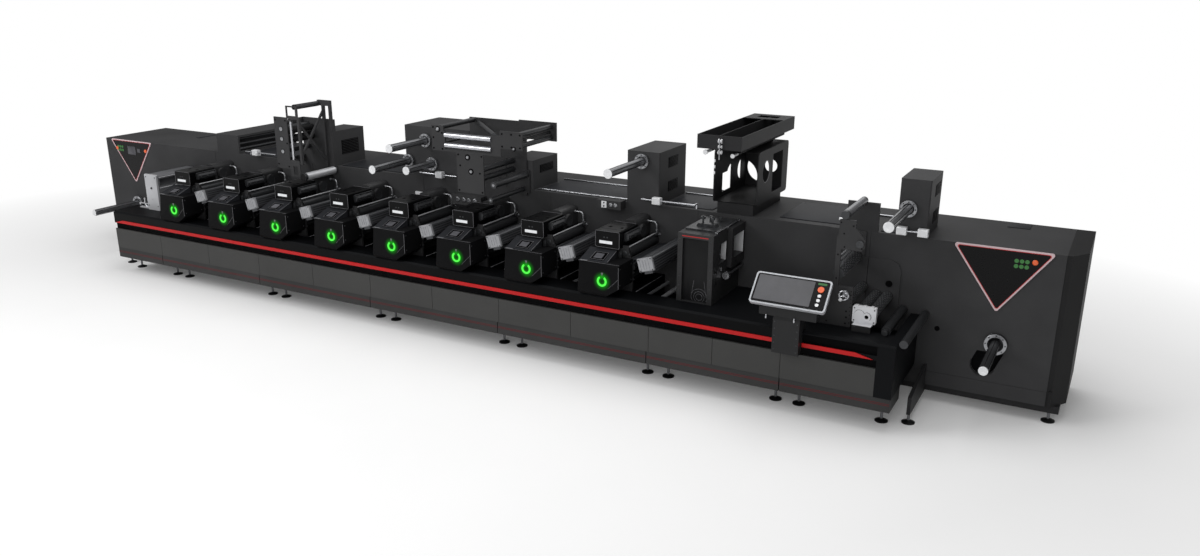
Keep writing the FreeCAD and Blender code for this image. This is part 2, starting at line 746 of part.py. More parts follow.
slot_body = slot_body.fuse(rod_y(slot_x, slot_z, SLOT_R, WALL_Y - 1, WALL_Y + SLOT_DEEP))
slot_body = slot_body.cut(box(REWIND_X - 3 * SLOT_R, REWIND_X + 3 * SLOT_R, WALL_Y - 2,
                              WALL_Y + SLOT_DEEP + 1, REEL_Z - SLOT_COVER, REEL_Z + 2 * SLOT_R))
rewinder = rewinder.cut(slot_body)
strip = box(post_x0 - 4 * SEAM, post_x0 - 3 * SEAM, WALL_Y - 1, WALL_Y + SEAM_DEEP,
            HOUSING_BASE_Z - 1, WALL_TOP + 1)
rewinder = rewinder.cut(strip)
foot_post = box(post_x0, post_x1, WALL_Y - POST_OUT, WALL_Y, HOUSING_BASE_Z, SKIRT_Z + POST_UP)
rewinder = joined(rewinder, foot_post)

# Plinth under the whole back line, with the struts that carry the outer feet
plinth_y0 = WALL_Y + PLINTH_SETBACK
plinth = box(PRESS_X0 + PLINTH_SETBACK, PRESS_X1 - PLINTH_SETBACK, plinth_y0,
             WALL_BACK - PLINTH_SETBACK, PLINTH_BASE, HOUSING_BASE_Z)
strut_outline = [
    (plinth_y0, PLINTH_BASE),
    (plinth_y0, HOUSING_BASE_Z),
    (WALL_Y, HOUSING_BASE_Z),
    (WALL_Y, STRUT_TOP),
    (WALL_Y - STRUT_SHOULDER, STRUT_TOP),
    (STRUT_FOOT_Y - STRUT_NOSE, STRUT_TOP * 0.72),
    (STRUT_FOOT_Y - STRUT_NOSE, PLINTH_BASE),
]
for x in strut_x:
    plinth = plinth.fuse(along_x(strut_outline, x - STRUT_THICK / 2, x + STRUT_THICK / 2))
plinth = plinth.removeSplitter()


# Print units
def facet(x, distance, side):
    """The wedge that a crease takes off a cover front: side 1 is upper left, side -1 lower right."""
    angle = math.radians(CREASE_ANGLE)
    run = FreeCAD.Vector(math.cos(angle), 0, math.sin(angle))
    out = FreeCAD.Vector(-math.sin(angle) * side, 0, math.cos(angle) * side)
    reach = PITCH / 2
    back = FreeCAD.Vector(0, reach * math.tan(math.radians(FACET_TILT)), 0)
    ahead = FreeCAD.Vector(0, -COVER_EDGE, 0)
    start = FreeCAD.Vector(x, 0, RING_Z) + out * distance - run * reach
    return prism([start, start + out * reach + back, start + out * reach + ahead, start + ahead],
                 run * (2 * reach))


def gear_cover(x):
    """Cover with a creased front, bevelled top and toe, and a sloping lower right corner."""
    outline = [(COVER_TOE, DECK_Z), (0, DECK_Z + COVER_TOE), (0, COVER_TOP - COVER_EDGE),
               (COVER_EDGE, COVER_TOP), (COVER_DEPTH, COVER_TOP), (COVER_DEPTH, DECK_Z)]
    cover = along_x(outline, x + COVER_LEFT, x + COVER_RIGHT)
    corner = along_y([(x + COVER_RIGHT - CORNER_RUN, DECK_Z), (x + COVER_RIGHT + 1, DECK_Z),
                      (x + COVER_RIGHT + 1, DECK_Z + CORNER_RISE)], -1, COVER_DEPTH + 1)
    cover = cover.cut([corner, facet(x, CREASE_HIGH, 1), facet(x, CREASE_LOW, -1)])
    return cover


def cover_ring(x):
    """Flat ring, open at the top, on the front of a cover."""
    outer = rod_y(x, RING_Z, RING_R + RING_WIDTH / 2, -RING_THICK, 0)
    inner = rod_y(x, RING_Z, RING_R - RING_WIDTH / 2, -RING_THICK - 1, 1)
    half = math.radians(RING_GAP / 2)
    reach = RING_R * 2
    gap = along_y([(x, RING_Z), (x - reach * math.sin(half), RING_Z + reach * math.cos(half)),
                   (x + reach * math.sin(half), RING_Z + reach * math.cos(half))],
                  -RING_THICK - 1, 1)
    return outer.cut([inner, gap])


slope = math.tan(math.radians(HOUSING_SLOPE))


def housing_z(y):
    return COVER_TOP + slope * (y - HOUSING_FRONT)


def screen_housing(x):
    """Wedge on a cover: its sloping top carries the small screen."""
    outline = [(HOUSING_FRONT, COVER_TOP), (HOUSING_BACK, housing_z(HOUSING_BACK)),
               (HOUSING_BACK, COVER_TOP)]
    return along_x(outline, x + COVER_LEFT + CAP_OVER / 2, x + HOUSING_RIGHT)


def screen(x):
    plate = box(x + SCREEN_LEFT, x + SCREEN_LEFT + SCREEN_WIDTH, SCREEN_Y, SCREEN_Y + SCREEN_HEIGHT,
                housing_z(SCREEN_Y), housing_z(SCREEN_Y) + SCREEN_THICK)
    return turned(plate, x, SCREEN_Y, housing_z(SCREEN_Y), UP_X, HOUSING_SLOPE)


def print_head(x):
    head = box(x + HEAD_LEFT, x + HEAD_RIGHT, HEAD_Y, HEAD_BACK, HEAD_BASE, HEAD_TOP)
    return head.makeFillet(HEAD_CORNER, edges_along(head, 1))


def head_lamp(x):
    left = x + LAMP_X - LAMP_WIDTH / 2
    return box(left, left + LAMP_WIDTH, HEAD_Y - LAMP_THICK, HEAD_Y,
               LAMP_Z - LAMP_HEIGHT / 2, LAMP_Z + LAMP_HEIGHT / 2)


def ink_chamber(x):
    """Chamber with its bevelled blade holder, on the right side of the head."""
    left = x + HEAD_RIGHT
    edge = CHAMBER_WIDTH * 0.4
    outline = [(left, CHAMBER_LOW), (left + edge, CHAMBER_LOW - edge * 0.7),
               (left + CHAMBER_WIDTH, CHAMBER_LOW + edge / 2), (left + CHAMBER_WIDTH, CHAMBER_TOP - edge),
               (left + CHAMBER_WIDTH - edge, CHAMBER_TOP), (left, CHAMBER_TOP)]
    return along_y(outline, CHAMBER_Y, HEAD_BACK - HEAD_CORNER)


def cassette_section(x, y0, y1):
    """Hollow-looking profile of the curing cassette: bevelled box, groove on top, tray below."""
    w = CASSETTE_WIDTH / 2
    h = CASSETTE_HEIGHT / 2
    b = CASSETTE_BEVEL
    g = CASSETTE_GROOVE
    t = TRAY_WIDTH / 2
    section = [(-w + b, -h), (-t, -h), (-t, -h - TRAY_HEIGHT), (t, -h - TRAY_HEIGHT), (t, -h),
               (w - b, -h), (w, -h + b), (w, h - b), (w - b, h), (g, h), (g / 2, h - g / 2),
               (-g / 2, h - g / 2), (-g, h), (-w + b, h), (-w, h - b), (-w, -h + b)]
    outline = [(x + CASSETTE_X + u, CASSETTE_Z + v) for u, v in section]
    bar = along_y(outline, y0, y1)
    return turned(bar, x + CASSETTE_X, y0, CASSETTE_Z, UP_Y, -CASSETTE_TILT)


def lamp_cassette(x):
    return cassette_section(x, CASSETTE_Y, WALL_Y)


def cassette_end(x):
    """Bright end block with two upright slots."""
    w = (CASSETTE_WIDTH + CAP_OVER) / 2
    h = (CASSETTE_HEIGHT + CAP_OVER) / 2
    cx = x + CASSETTE_X
    y0 = CASSETTE_Y - CAP_THICK
    cap = box(cx - w, cx + w, y0, CASSETTE_Y, CASSETTE_Z - h, CASSETTE_Z + h)
    for side in (-0.16, 0.02):
        left = cx + side * CASSETTE_WIDTH
        cap = cap.cut(box(left, left + CAP_SLOT, y0 - 1, y0 + CAP_SLOT * 0.5,
                          CASSETTE_Z - h * 0.62, CASSETTE_Z + h * 0.72))
    return turned(cap, cx, y0, CASSETTE_Z, UP_Y, -CASSETTE_TILT)


def unit_frame(x):
    """Casting behind the cover: column under the head, bearing plate, drive housing at the wall."""
    left = x + HEAD_RIGHT - COLUMN_IN
    right = x + BEARING_RIGHT
    lug = x + HEAD_RIGHT + HEAD_SEAT
    column = box(x + HEAD_LEFT + COLUMN_IN, left, COVER_DEPTH, WALL_Y, DECK_Z, HEAD_BASE)
    plate = along_y([(left, DECK_Z), (right, DECK_Z), (right, BEARING_SHOULDER),
                     (right - BEARING_CUT, BEARING_SHOULDER + BEARING_RISE), (lug + BEARING_LUG, BEARING_TOP),
                     (lug, BEARING_TOP), (lug, HEAD_BASE), (left, HEAD_BASE)],
                    COVER_DEPTH, COVER_DEPTH + BEARING_THICK)
    drive = box(x + DRIVE_LEFT, x + DRIVE_RIGHT, HEAD_BACK + DRIVE_GAP, WALL_Y, HEAD_BASE, DRIVE_TOP)
    top_edges = [e for e in edges_along(drive, 1) if e.Vertexes[0].Point.z > DRIVE_TOP - 1]
    drive = drive.makeFillet(DRIVE_CORNER, top_edges)
    return joined(column, plate, drive)


def roller(x, z, r, neck):
    """Roller between the bearing plate and the wall, with a reduced neck at each end."""
    y0 = COVER_DEPTH + BEARING_THICK
    body = rod_y(x, z, r, y0 + neck, WALL_Y - neck)
    return joined(body, rod_y(x, z, r * NECK, y0, WALL_Y))


def plain_roller(x, z, r):
    return rod_y(x, z, r, COVER_DEPTH + BEARING_THICK, WALL_Y)


covers, rings, housings, screens, heads, lamps, chambers = [], [], [], [], [], [], []
cassettes, ends, frames, cylinders, aniloxes, idlers = [], [], [], [], [], []
for i in range(UNITS):
    x = unit_x(i)
    covers.append(gear_cover(x))
    rings.append(cover_ring(x))
    housings.append(screen_housing(x))
    screens.append(screen(x))
    heads.append(print_head(x))
    lamps.append(head_lamp(x))
    chambers.append(ink_chamber(x))
    cassettes.append(lamp_cassette(x))
    ends.append(cassette_end(x))
    frames.append(unit_frame(x))
    cylinders.append(roller(x + CYLINDER_X, CYLINDER_Z, CYLINDER_R, NECK_LENGTH))
    aniloxes.append(plain_roller(x + ANILOX_X, ANILOX_Z, ANILOX_R))
    idlers.append(plain_roller(x + LOW_IDLER_X, LOW_IDLER_Z, IDLER_R))
    idlers.append(plain_roller(x + GUIDE_X, GUIDE_Z, GUIDE_R))

# First station, left of the first unit
st_x0 = STATION_X - STATION_WIDTH / 2
st_x1 = STATION_X + STATION_WIDTH / 2
station_plate = box(st_x0, st_x1, STATION_Y, STATION_Y + PLATE_THICK, DECK_Z, STATION_TOP)
station_plate = station_plate.makeChamfer(PLATE_CHAMFER, edges_along(station_plate, 1))
for z, r in STATION_PLATE_HOLES:
    station_plate = station_plate.cut(rod_y(STATION_X, z, r, STATION_Y - 1, STATION_Y + PLATE_THICK / 4))
body_y0 = STATION_Y + PLATE_THICK
body_x0 = st_x0 + STATION_IN
body_x1 = st_x1 - STATION_IN
body_top = STATION_TOP - STATION_IN
station_outline = [
    (body_x0, STATION_LOW),
    (body_x1, STATION_LOW),
    (body_x1, body_top - STATION_CHAMFER),
    (body_x1 - STATION_CHAMFER, body_top),
    (body_x0 + STATION_CHAMFER, body_top),
    (body_x0, body_top - STATION_CHAMFER),
]
station = along_y(station_outline, body_y0, WALL_Y)
station = station.cut(box(body_x1 - STATION_WINDOW_IN, st_x1, body_y0 + STATION_WINDOW_FROM,
                          body_y0 + STATION_WINDOW_FROM + STATION_WINDOW, STATION_WINDOW_LOW, STATION_WINDOW_TOP))
station = joined(station, box(st_x0 + STATION_FOOT_IN, st_x1 - STATION_FOOT_IN, WALL_Y - STATION_FOOT, WALL_Y,
                              DECK_Z, STATION_LOW))

# Tower with crossed braces
tx0 = unit_x(1) + TOWER_LEFT
tx1 = tx0 + TOWER_WIDTH
face_y1 = TOWER_FRONT + TOWER_SHEET


def strut_between(x, a, b, width):
    """A square bar in the plane X = x from point a to point b, each a (y, z) pair."""
    length = math.hypot(b[0] - a[0], b[1] - a[1])
    angle = math.degrees(math.atan2(b[1] - a[1], b[0] - a[0]))
    bar = box(x, x + width, a[0], a[0] + length, a[1] - width / 2, a[1] + width / 2)
    return turned(bar, x, a[0], a[1], UP_X, angle)


face = along_y([(tx0, FACE_TOP), (tx0, FACE_LOW + FACE_CORNER),
                (tx0 + FACE_CORNER * 0.3, FACE_LOW + FACE_CORNER * 0.3), (tx0 + FACE_CORNER, FACE_LOW),
                (tx0 + FACE_WIDTH, FACE_LOW), (tx0 + FACE_WIDTH, FACE_TOP)], TOWER_FRONT, face_y1)
link_low = box(tx0, tx0 + TOWER_SHEET, face_y1, WALL_Y, FACE_LOW, FACE_LOW + TOWER_LINK)
link_high = box(tx0, tx0 + TOWER_SHEET, face_y1, WALL_Y, TOWER_PANEL_TOP - TOWER_LINK, TOWER_PANEL_TOP)
tower_panel = box(tx0, tx1, WALL_Y, WALL_Y + TOWER_BAR, WALL_TOP, TOWER_PANEL_TOP)
post_y = WALL_Y - TOWER_BAR
brace_x = tx1 - BRACE_IN
rear_post = box(brace_x, brace_x + TOWER_BAR, post_y, WALL_Y, WALL_TOP, TOWER_TOP)
rear_post2 = box(tx1 - TOWER_BAR, tx1, post_y, WALL_Y, WALL_TOP, TOWER_TOP)
rear_cap = box(brace_x - ARM, tx1, post_y, WALL_Y, TOWER_TOP - ARM, TOWER_TOP)
loop_x0 = tx0 + FACE_WIDTH
loop_x1 = loop_x0 + LOOP_WIDTH
loop_low = FACE_TOP - LOOP_LAP
loop_top = FACE_TOP + LOOP_HIGH
loop = box(loop_x0 - 1, loop_x1, TOWER_FRONT, face_y1, loop_low, loop_top)
loop = loop.cut(box(loop_x0 + TOWER_SHEET, loop_x1 - TOWER_SHEET * 2, TOWER_FRONT - 1, face_y1 + 1,
                    loop_low + LOOP_SILL, loop_top - TOWER_SHEET))
bracket_top = FACE_LOW + TOWER_FOOT_UP
bracket_low = FACE_LOW - TOWER_FOOT_DOWN
foot_bracket = box(loop_x0 - 1, loop_x0 + TOWER_FOOT, TOWER_FRONT, face_y1, bracket_low, bracket_top)
foot_bracket = foot_bracket.cut(box(loop_x0 + TOWER_FOOT * 0.3, loop_x0 + TOWER_FOOT * 0.75, TOWER_FRONT - 1,
                                    face_y1 + 1, bracket_low + LOOP_SILL * 0.7, bracket_top - LOOP_SILL * 1.8))
front_post = box(brace_x, brace_x + TOWER_BAR, TOWER_FRONT, TOWER_FRONT + TOWER_BAR,
                 bracket_top - LOOP_SILL, loop_low + LOOP_LAP * 2)
brace_ahead = TOWER_FRONT + BRACE_BAR / 2
brace_back = post_y + BRACE_BAR / 2
brace_a = strut_between(brace_x, (brace_ahead, TOWER_PANEL_TOP), (brace_back, BRACE_LOW), BRACE_BAR)
brace_b = strut_between(brace_x, (brace_ahead, BRACE_LOW + BRACE_STEP), (brace_back, TOWER_PANEL_TOP + BRACE_STEP),
                        BRACE_BAR)
seats = [box(loop_x0 - 1, loop_x0 + SEAT_WIDTH, TOWER_FRONT, TOWER_FRONT + SEAT_DEPTH, z - TOWER_SHEET, z)
         for z in (bracket_top, loop_low - TOWER_SHEET)]
tower = joined(face, link_low, link_high, tower_panel, rear_post, rear_post2, rear_cap, loop,
               foot_bracket, front_post, brace_a, brace_b, *seats)
chrome_post = rod_z(loop_x0 + CHROME_POST_IN, TOWER_FRONT + SEAT_DEPTH / 2, CHROME_POST_R, bracket_top,
                    loop_low - 2 * TOWER_SHEET)
tower_rollers = [rod_y(brace_x - ARM * 0.75, loop_top - LOOP_LAP, TOWER_ROLL_R, face_y1, post_y)]
for down, r in TOWER_GUIDES:
    tower_rollers.append(rod_y(tx0 + FACE_WIDTH / 2, FACE_TOP - down, r, face_y1, WALL_Y))
tower_rollers.append(rod_y(brace_x + LOW_ROLL_FROM, WALL_TOP - LOW_ROLL_R - LOW_ROLL_GAP, LOW_ROLL_R,
                           TOWER_FRONT - LOW_ROLL_OUT, WALL_Y))

# Closed boxes on the wall
def tall_box(x0, x1, depth, top):
    tall = box(x0, x1, WALL_Y, WALL_Y + depth, WALL_TOP, top)
    return tall.makeFillet(BOX_CORNER, edges_along(tall, 2))


tall_x = unit_x(3) + TALL_BOX_FROM
low_x = unit_x(5)
mid_x = unit_x(6) + MID_BOX_FROM
right_x = BED_X1 - RIGHT_BOX_IN
nip_x0 = unit_x(4) + NIP_LEFT
panel_x = mid_x - SENSOR_WIDTH - SENSOR_GAP
knobs_x = nip_x0 - KNOB_BOX_LEFT
wall_boxes = [
    box(tx1 - TOWER_BOX, tx1, WALL_Y + TOWER_BAR, WALL_Y + LOW_BOX_DEPTH, WALL_TOP, BOX_TOWER),
    tall_box(tall_x, tall_x + TALL_BOX, BOX_DEPTH, BOX_TALL),
    tall_box(low_x, low_x + LOW_BOX, LOW_BOX_DEPTH, BOX_LOW),
    tall_box(mid_x, mid_x + MID_BOX, BOX_DEPTH, BOX_MID),
    tall_box(right_x, right_x + RIGHT_BOX, LOW_BOX_DEPTH, BOX_RIGHT),
    box(panel_x, panel_x + SENSOR_WIDTH, WALL_Y - SENSOR_OUT, WALL_Y, WALL_TOP - SENSOR_DOWN, WALL_TOP + SENSOR_UP),
    box(knobs_x, knobs_x + KNOB_BOX, WALL_Y - KNOB_BOX_OUT, WALL_Y, KNOB_BOX_LOW, KNOB_BOX_TOP),
]

# Shafts: bearing in the wall or a box, free end to the front
shafts = {
    "upper_left_shaft": (tall_x + UPPER_SHAFT_FROM, UPPER_SHAFT_Z, UPPER_SHAFT_TIP),
    "lower_left_shaft": (tall_x + LOW_SHAFT_FROM, LOW_SHAFT_Z + LOW_SHAFT_STEP, UPPER_SHAFT_TIP),
    "inner_shaft": (tall_x + INNER_SHAFT_FROM, LOW_SHAFT_Z, INNER_SHAFT_TIP),
    "middle_shaft": (mid_x + MID_SHAFT_FROM, BOX_MID - MID_SHAFT_DOWN, MID_SHAFT_TIP),
    "waste_shaft": (right_x + WASTE_SHAFT_FROM, BOX_RIGHT - WASTE_SHAFT_DOWN, WASTE_SHAFT_TIP),
}


def winding_shaft(x, z, r, tip, flange_r, flange_thick, head_r):
    """Shaft with a tip disc, a flange just clear of its box and a journal inside the box."""
    back = WALL_Y - FLANGE_CLEAR
    body = rod_y(x, z, r, tip, back)
    flange = rod_y(x, z, flange_r, back - flange_thick, back)
    journal = rod_y(x, z, JOURNAL_R, back, WALL_Y + JOURNAL_DEPTH)
    pieces = [flange, journal]
    if head_r > r:
        pieces.append(rod_y(x, z, head_r, tip - SHAFT_TIP, tip))
    return joined(body, *pieces)


def journal_hole(x, z):
    return rod_y(x, z, JOURNAL_R + RUNNING_FIT, WALL_Y - 1, WALL_Y + JOURNAL_DEPTH + JOURNAL_END)


for name, (x, z, tip) in shafts.items():
    save(name, [winding_shaft(x, z, SHAFT_R, tip + SHAFT_TIP, FLANGE_R, FLANGE_THICK, SHAFT_TIP_R)])
    wall_boxes = [tall.cut(journal_hole(x, z)) for tall in wall_boxes]
for name, x in (("rewind_shaft", REWIND_X), ("unwind_shaft", UNWIND_X)):
    save(name, [winding_shaft(x, REEL_Z, SHAFT_R, REEL_SHAFT_TIP_Y, REEL_FLANGE_R, REEL_FLANGE_THICK, 0)])
unwinder = unwinder.cut(journal_hole(UNWIND_X, REEL_Z))
rewinder = rewinder.cut(journal_hole(REWIND_X, REEL_Z))

# Plates and bars at the centre
wx0 = nip_x0 + NIP_SIDE
wx1 = wx0 + NIP_WINDOW
nip_x1 = wx1 + NIP_END
nip_back = NIP_Y + NIP_THICK
right_plate_x = wx1 + NIP_END_FROM
upper = box(nip_x0, right_plate_x + NIP_THICK / 2, NIP_Y, nip_back, NIP_LOW, NIP_TOP - NIP_SHOULDER)
upper = upper.cut(box(wx0, wx1, NIP_Y - 1, nip_back + 1, NIP_WINDOW_LOW, NIP_WINDOW_TOP + 1))
left_plate = box(nip_x0, wx0 - NIP_THICK, NIP_Y, nip_back, NIP_LOW, NIP_TOP)
right_plate = box(right_plate_x, nip_x1, NIP_Y, nip_back, NIP_END_LOW, NIP_TOP)
face_x0 = nip_x0 + NIP_FACE_IN
lower_face = box(face_x0, face_x0 + NIP_FACE, NIP_Y, nip_back, NIP_FACE_LOW, NIP_LOW + 1)
for u, v in NIP_FACE_HOLES:
    lower_face = lower_face.cut(rod_y(face_x0 + NIP_FACE * u, NIP_FACE_LOW + (NIP_LOW - NIP_FACE_LOW) * v,
                                      NIP_HOLE_R, NIP_Y - 1, nip_back + 1))
rear_plate = box(tall_x + TALL_BOX, low_x, WALL_Y, WALL_Y + NIP_THICK, WALL_TOP, NIP_TOP)
rear_upper = box(low_x - 1, wx1 - NIP_SHOULDER, WALL_Y, WALL_Y + NIP_THICK, BOX_LOW, NIP_TOP)
far_x0 = wx1 - NIP_POST_IN
far_front = WALL_Y - NIP_THICK
rear_column = box(far_x0, far_x0 + NIP_POST, far_front, WALL_Y, WALL_TOP - NIP_POST_DOWN, NIP_TOP - NIP_POST)
far_plate = box(far_x0, nip_x1 + NIP_THICK, far_front, WALL_Y, NIP_END_LOW, NIP_TOP + NIP_THICK)
roller_arm = box(far_x0, far_x0 + NIP_POST * 1.4, far_front, WALL_Y, WALL_TOP - NIP_POST_DOWN / 2,
                 WALL_TOP + NIP_ARM_UP)
ties = [
    rod_y(nip_x0 + NIP_TIE_IN, NIP_LOW + NIP_TIE_IN, TIE_R, nip_back, WALL_Y),
    rod_y(face_x0 + NIP_TIE_IN, NIP_FACE_LOW + NIP_TIE_IN, TIE_R, nip_back, WALL_Y),
    rod_y(right_plate_x - NIP_TIE_IN * 0.7, NIP_END_LOW + NIP_TIE_IN / 2, TIE_R, nip_back, far_front),
    rod_y(nip_x1 - NIP_TIE_IN, NIP_END_LOW + NIP_TIE_IN * 1.5, TIE_R, nip_back, far_front),
]
nip_frame = joined(upper, left_plate, right_plate, lower_face, rear_plate, rear_upper, rear_column,
                   far_plate, roller_arm, *ties)
bar_y = NIP_Y + NIP_THICK / 2
nip_bars = [rod_x(bar_y, z, NIP_BAR_R, wx0, wx1)
            for z in (NIP_WINDOW_TOP - NIP_BAR_R - NIP_BAR_GAP, NIP_WINDOW_LOW + NIP_BAR_R + NIP_BAR_GAP)]
nip_bars.append(chrome_post)
roll_front = NIP_Y + NIP_ROLL_IN
nip_rollers = [
    rod_y(nip_x0 + NIP_EDGE_ROLL_IN * 1.7, NIP_TOP - NIP_ROLL_R, NIP_ROLL_R, nip_back, WALL_Y),
    rod_y(nip_x1 - NIP_EDGE_ROLL_IN, NIP_TOP - NIP_ROLL_R, NIP_ROLL_R, nip_back, far_front),
    rod_y(nip_x1 - NIP_EDGE_ROLL_IN, NIP_END_LOW + NIP_ROLL_R * 1.5, NIP_ROLL_R, nip_back, far_front),
    rod_y(wx1 + ARM_ROLL_FROM, WALL_TOP + ARM_ROLL_UP, ARM_ROLL_R, roll_front, far_front),
    rod_y(wx1 - ARM_ROLL_LOW_IN, WALL_TOP + NIP_ROLL_IN, NIP_ROLL_R, roll_front, far_front),
    rod_y(wx1 - FACE_ROLL_IN, WALL_TOP + FACE_ROLL_UP, FACE_ROLL_R, nip_back, WALL_Y),
    rod_y(wx1 - FACE_ROLL_IN, WALL_TOP + FACE_ROLL_UP2, FACE_ROLL_R, nip_back, WALL_Y),
]
turn_run = WALL_Y - NIP_Y + TURN_BAR_OVER
turn_from = FreeCAD.Vector(wx1 + TURN_BAR_OVER, NIP_Y - TURN_BAR_OVER / 2, NIP_WINDOW_TOP + TURN_BAR_UP)
turn_to = turn_from + FreeCAD.Vector(-turn_run, turn_run, 0)
turn_bar = Part.makeCylinder(TURN_BAR_R, (turn_to - turn_from).Length, turn_from, turn_to - turn_from)
turn_bar = turn_bar.common(box(nip_x0, nip_x1, nip_back, WALL_Y, NIP_LOW, NIP_TOP))
nip_rollers.append(turn_bar)

# Rails along the front of the wall, each with its sliding blocks
def rail_stay(at, on_wall_top):
    """Stay that holds a rail: straight back into a box, or over the wall's edge down to its top."""
    low = ROD_Z - STAY / 2
    high = ROD_Z + STAY / 2
    if not on_wall_top:
        return box(at - STAY / 2, at + STAY / 2, ROD_Y, WALL_Y, low, high)
    outline = [(ROD_Y, low), (ROD_Y, high), (WALL_Y + STAY_BACK, high), (WALL_Y + STAY_BACK, WALL_TOP),
               (WALL_Y + STAY_BACK - STAY, WALL_TOP), (WALL_Y + STAY_BACK - STAY, low)]
    return along_x(outline, at - STAY / 2, at + STAY / 2)


rail_blocks = []
wall_rails = []
left_rail = unit_x(1) - LEFT_RAIL_IN
mid_rail = mid_x + MID_RAIL_FROM
right_rail = right_x + STAY
for x0, length, blocks, stays in (
        (left_rail, LEFT_RAIL, (LEFT_BLOCK,), ((STAY, True), (LEFT_RAIL - STAY, True))),
        (tall_x + INNER_RAIL_FROM, INNER_RAIL, (INNER_BLOCK,), ((STAY, False), (INNER_RAIL - STAY, False))),
        (mid_rail, MID_RAIL, (MID_BLOCK,), ((STAY, False), (MID_RAIL - STAY, True))),
        (right_rail, RIGHT_RAIL, (0.0, RIGHT_BLOCK), ((BLOCK + STAY, False), (RIGHT_BLOCK - STAY, False)))):
    x1 = x0 + length
    rod = rod_x(ROD_Y, ROD_Z, ROD_R, x0, x1)
    for offset, on_wall_top in stays:
        rod = rod.fuse(rail_stay(x0 + offset, on_wall_top))
    for left in blocks:
        block = box(x0 + left, x0 + left + BLOCK, ROD_Y - BLOCK_R, ROD_Y + BLOCK_R - BLOCK_EDGE,
                    ROD_Z - BLOCK_R, ROD_Z + BLOCK_R)
        block = block.makeChamfer(BLOCK_EDGE, edges_along(block, 0))
        block = block.cut(rod_x(ROD_Y, ROD_Z, ROD_R + BLOCK_CLEAR, x0 - 1, x1 + 1))
        rail_blocks.append(block)
    wall_rails.append(rod.removeSplitter())
line_z = WALL_TOP + LINE_R
for x0, x1, y in ((low_x + LOW_BOX + LINE_GAP, mid_x - LINE_GAP, WALL_Y + LINE_NEAR),
                  (low_x + LOW_BOX + LINE_GAP, mid_x - LINE_GAP, WALL_Y + LINE_FAR),
                  (mid_x + MID_BOX + LINE_GAP, LAST_X + HOIST_LEFT - LINE_GAP, WALL_Y + LINE_FAR),
                  (LAST_X + SLIT_FROM_UNIT, right_x - LINE_GAP, WALL_Y + LINE_FAR)):
    wall_rails.append(rod_x(y, line_z, LINE_R, x0, x1))
infeed_rods = []
for share in (0.22, 0.5, 0.78):
    z = WALL_TOP + (INFEED_TOP - WALL_TOP) * share
    infeed_rods.append(rod_y(INFEED_RIGHT - INFEED_DEEP / 2, z, INFEED_ROD_R, WALL_Y + INFEED_RIM,
                             WALL_BACK - INFEED_RIM))

# Die-cutting station: two side frames, a front guard, a wider rear bearing housing on the right
dx0 = LAST_X + DIE_LEFT
dx1 = dx0 + DIE_WIDTH
die_rear_x1 = dx1 + DIE_REAR_OUT
bay_back = WALL_Y - DIE_BACK
bay_low = DECK_Z + DIE_SILL
bay_top = DIE_TOP - DIE_LINTEL
die = box(dx0, dx1, DIE_Y, WALL_Y, DECK_Z, DIE_TOP)
die = joined(die, box(dx1 - 1, die_rear_x1, DIE_REAR_Y, WALL_Y, DIE_REAR_LOW, DIE_TOP))
die = die.cut(box(dx0 + DIE_COLUMN, dx1 - DIE_COLUMN, DIE_Y - 1, bay_back, bay_low, bay_top))
for y0, y1, z0, z1 in DIE_WINDOWS:
    die = die.cut(box(dx1 - DIE_COLUMN - 1, die_rear_x1 + 1, y0, y1, z0, z1))
guard_y = DIE_Y + DIE_GUARD_IN
guard_back = guard_y + DIE_GUARD
die = joined(die, box(dx0 + DIE_COLUMN, dx1 - DIE_COLUMN, guard_y, guard_back, bay_low, bay_top))
die_cx = (dx0 + dx1) / 2
top_z = DIE_TOP + DIE_PLATE
bridge_z = top_z + DIE_BRIDGE_HIGH
bridge_y = DIE_Y + DIE_BRIDGE_IN
screw_y = bridge_y + DIE_BRIDGE / 2
die_top = box(dx0 + DIE_TOP_IN, dx1 - DIE_TOP_IN, DIE_Y + DIE_TOP_FROM, WALL_Y - DIE_GUARD_IN, DIE_TOP, top_z)
die_bridge = along_y([(die_cx - DIE_BRIDGE_HALF, top_z), (die_cx - DIE_SCREW_X * 1.8, bridge_z),
                      (die_cx + DIE_SCREW_X * 1.8, bridge_z), (die_cx + DIE_BRIDGE_HALF, top_z)],
                     bridge_y, bridge_y + DIE_BRIDGE)
die_top = die_top.fuse(die_bridge)
for x in (die_cx - DIE_SCREW_X, die_cx + DIE_SCREW_X):
    screw = rod_z(x, screw_y, DIE_SCREW_R, top_z, top_z + DIE_SCREW)
    knob = rod_z(x, screw_y, DIE_KNOB_R, top_z + DIE_SCREW * 0.67, top_z + DIE_SCREW * 0.91)
    post = rod_z(x, screw_y + DIE_POST_BACK, DIE_POST_R, top_z, top_z + DIE_SCREW / 2)
    die_top = die_top.fuse([screw, knob, post])
die_top = die_top.removeSplitter()
die_rollers = []
for share in (0.5, 0.235, 0.765):
    z = DECK_Z + (DIE_TOP - DECK_Z) * share
    die_rollers.append(rod_y(die_cx, z, DIE_ROLL_R, guard_back, bay_back))
side_bar = joined(rod_y(dx1 + SIDE_BAR_OUT, SIDE_BAR_Z, SIDE_BAR_R, bridge_y, WALL_Y),
                  rod_y(dx1 + SIDE_BAR_OUT, SIDE_BAR_Z, SIDE_KNOB_R, bridge_y - SIDE_BAR_R, bridge_y + SIDE_BAR_R))
die_rollers.append(side_bar)

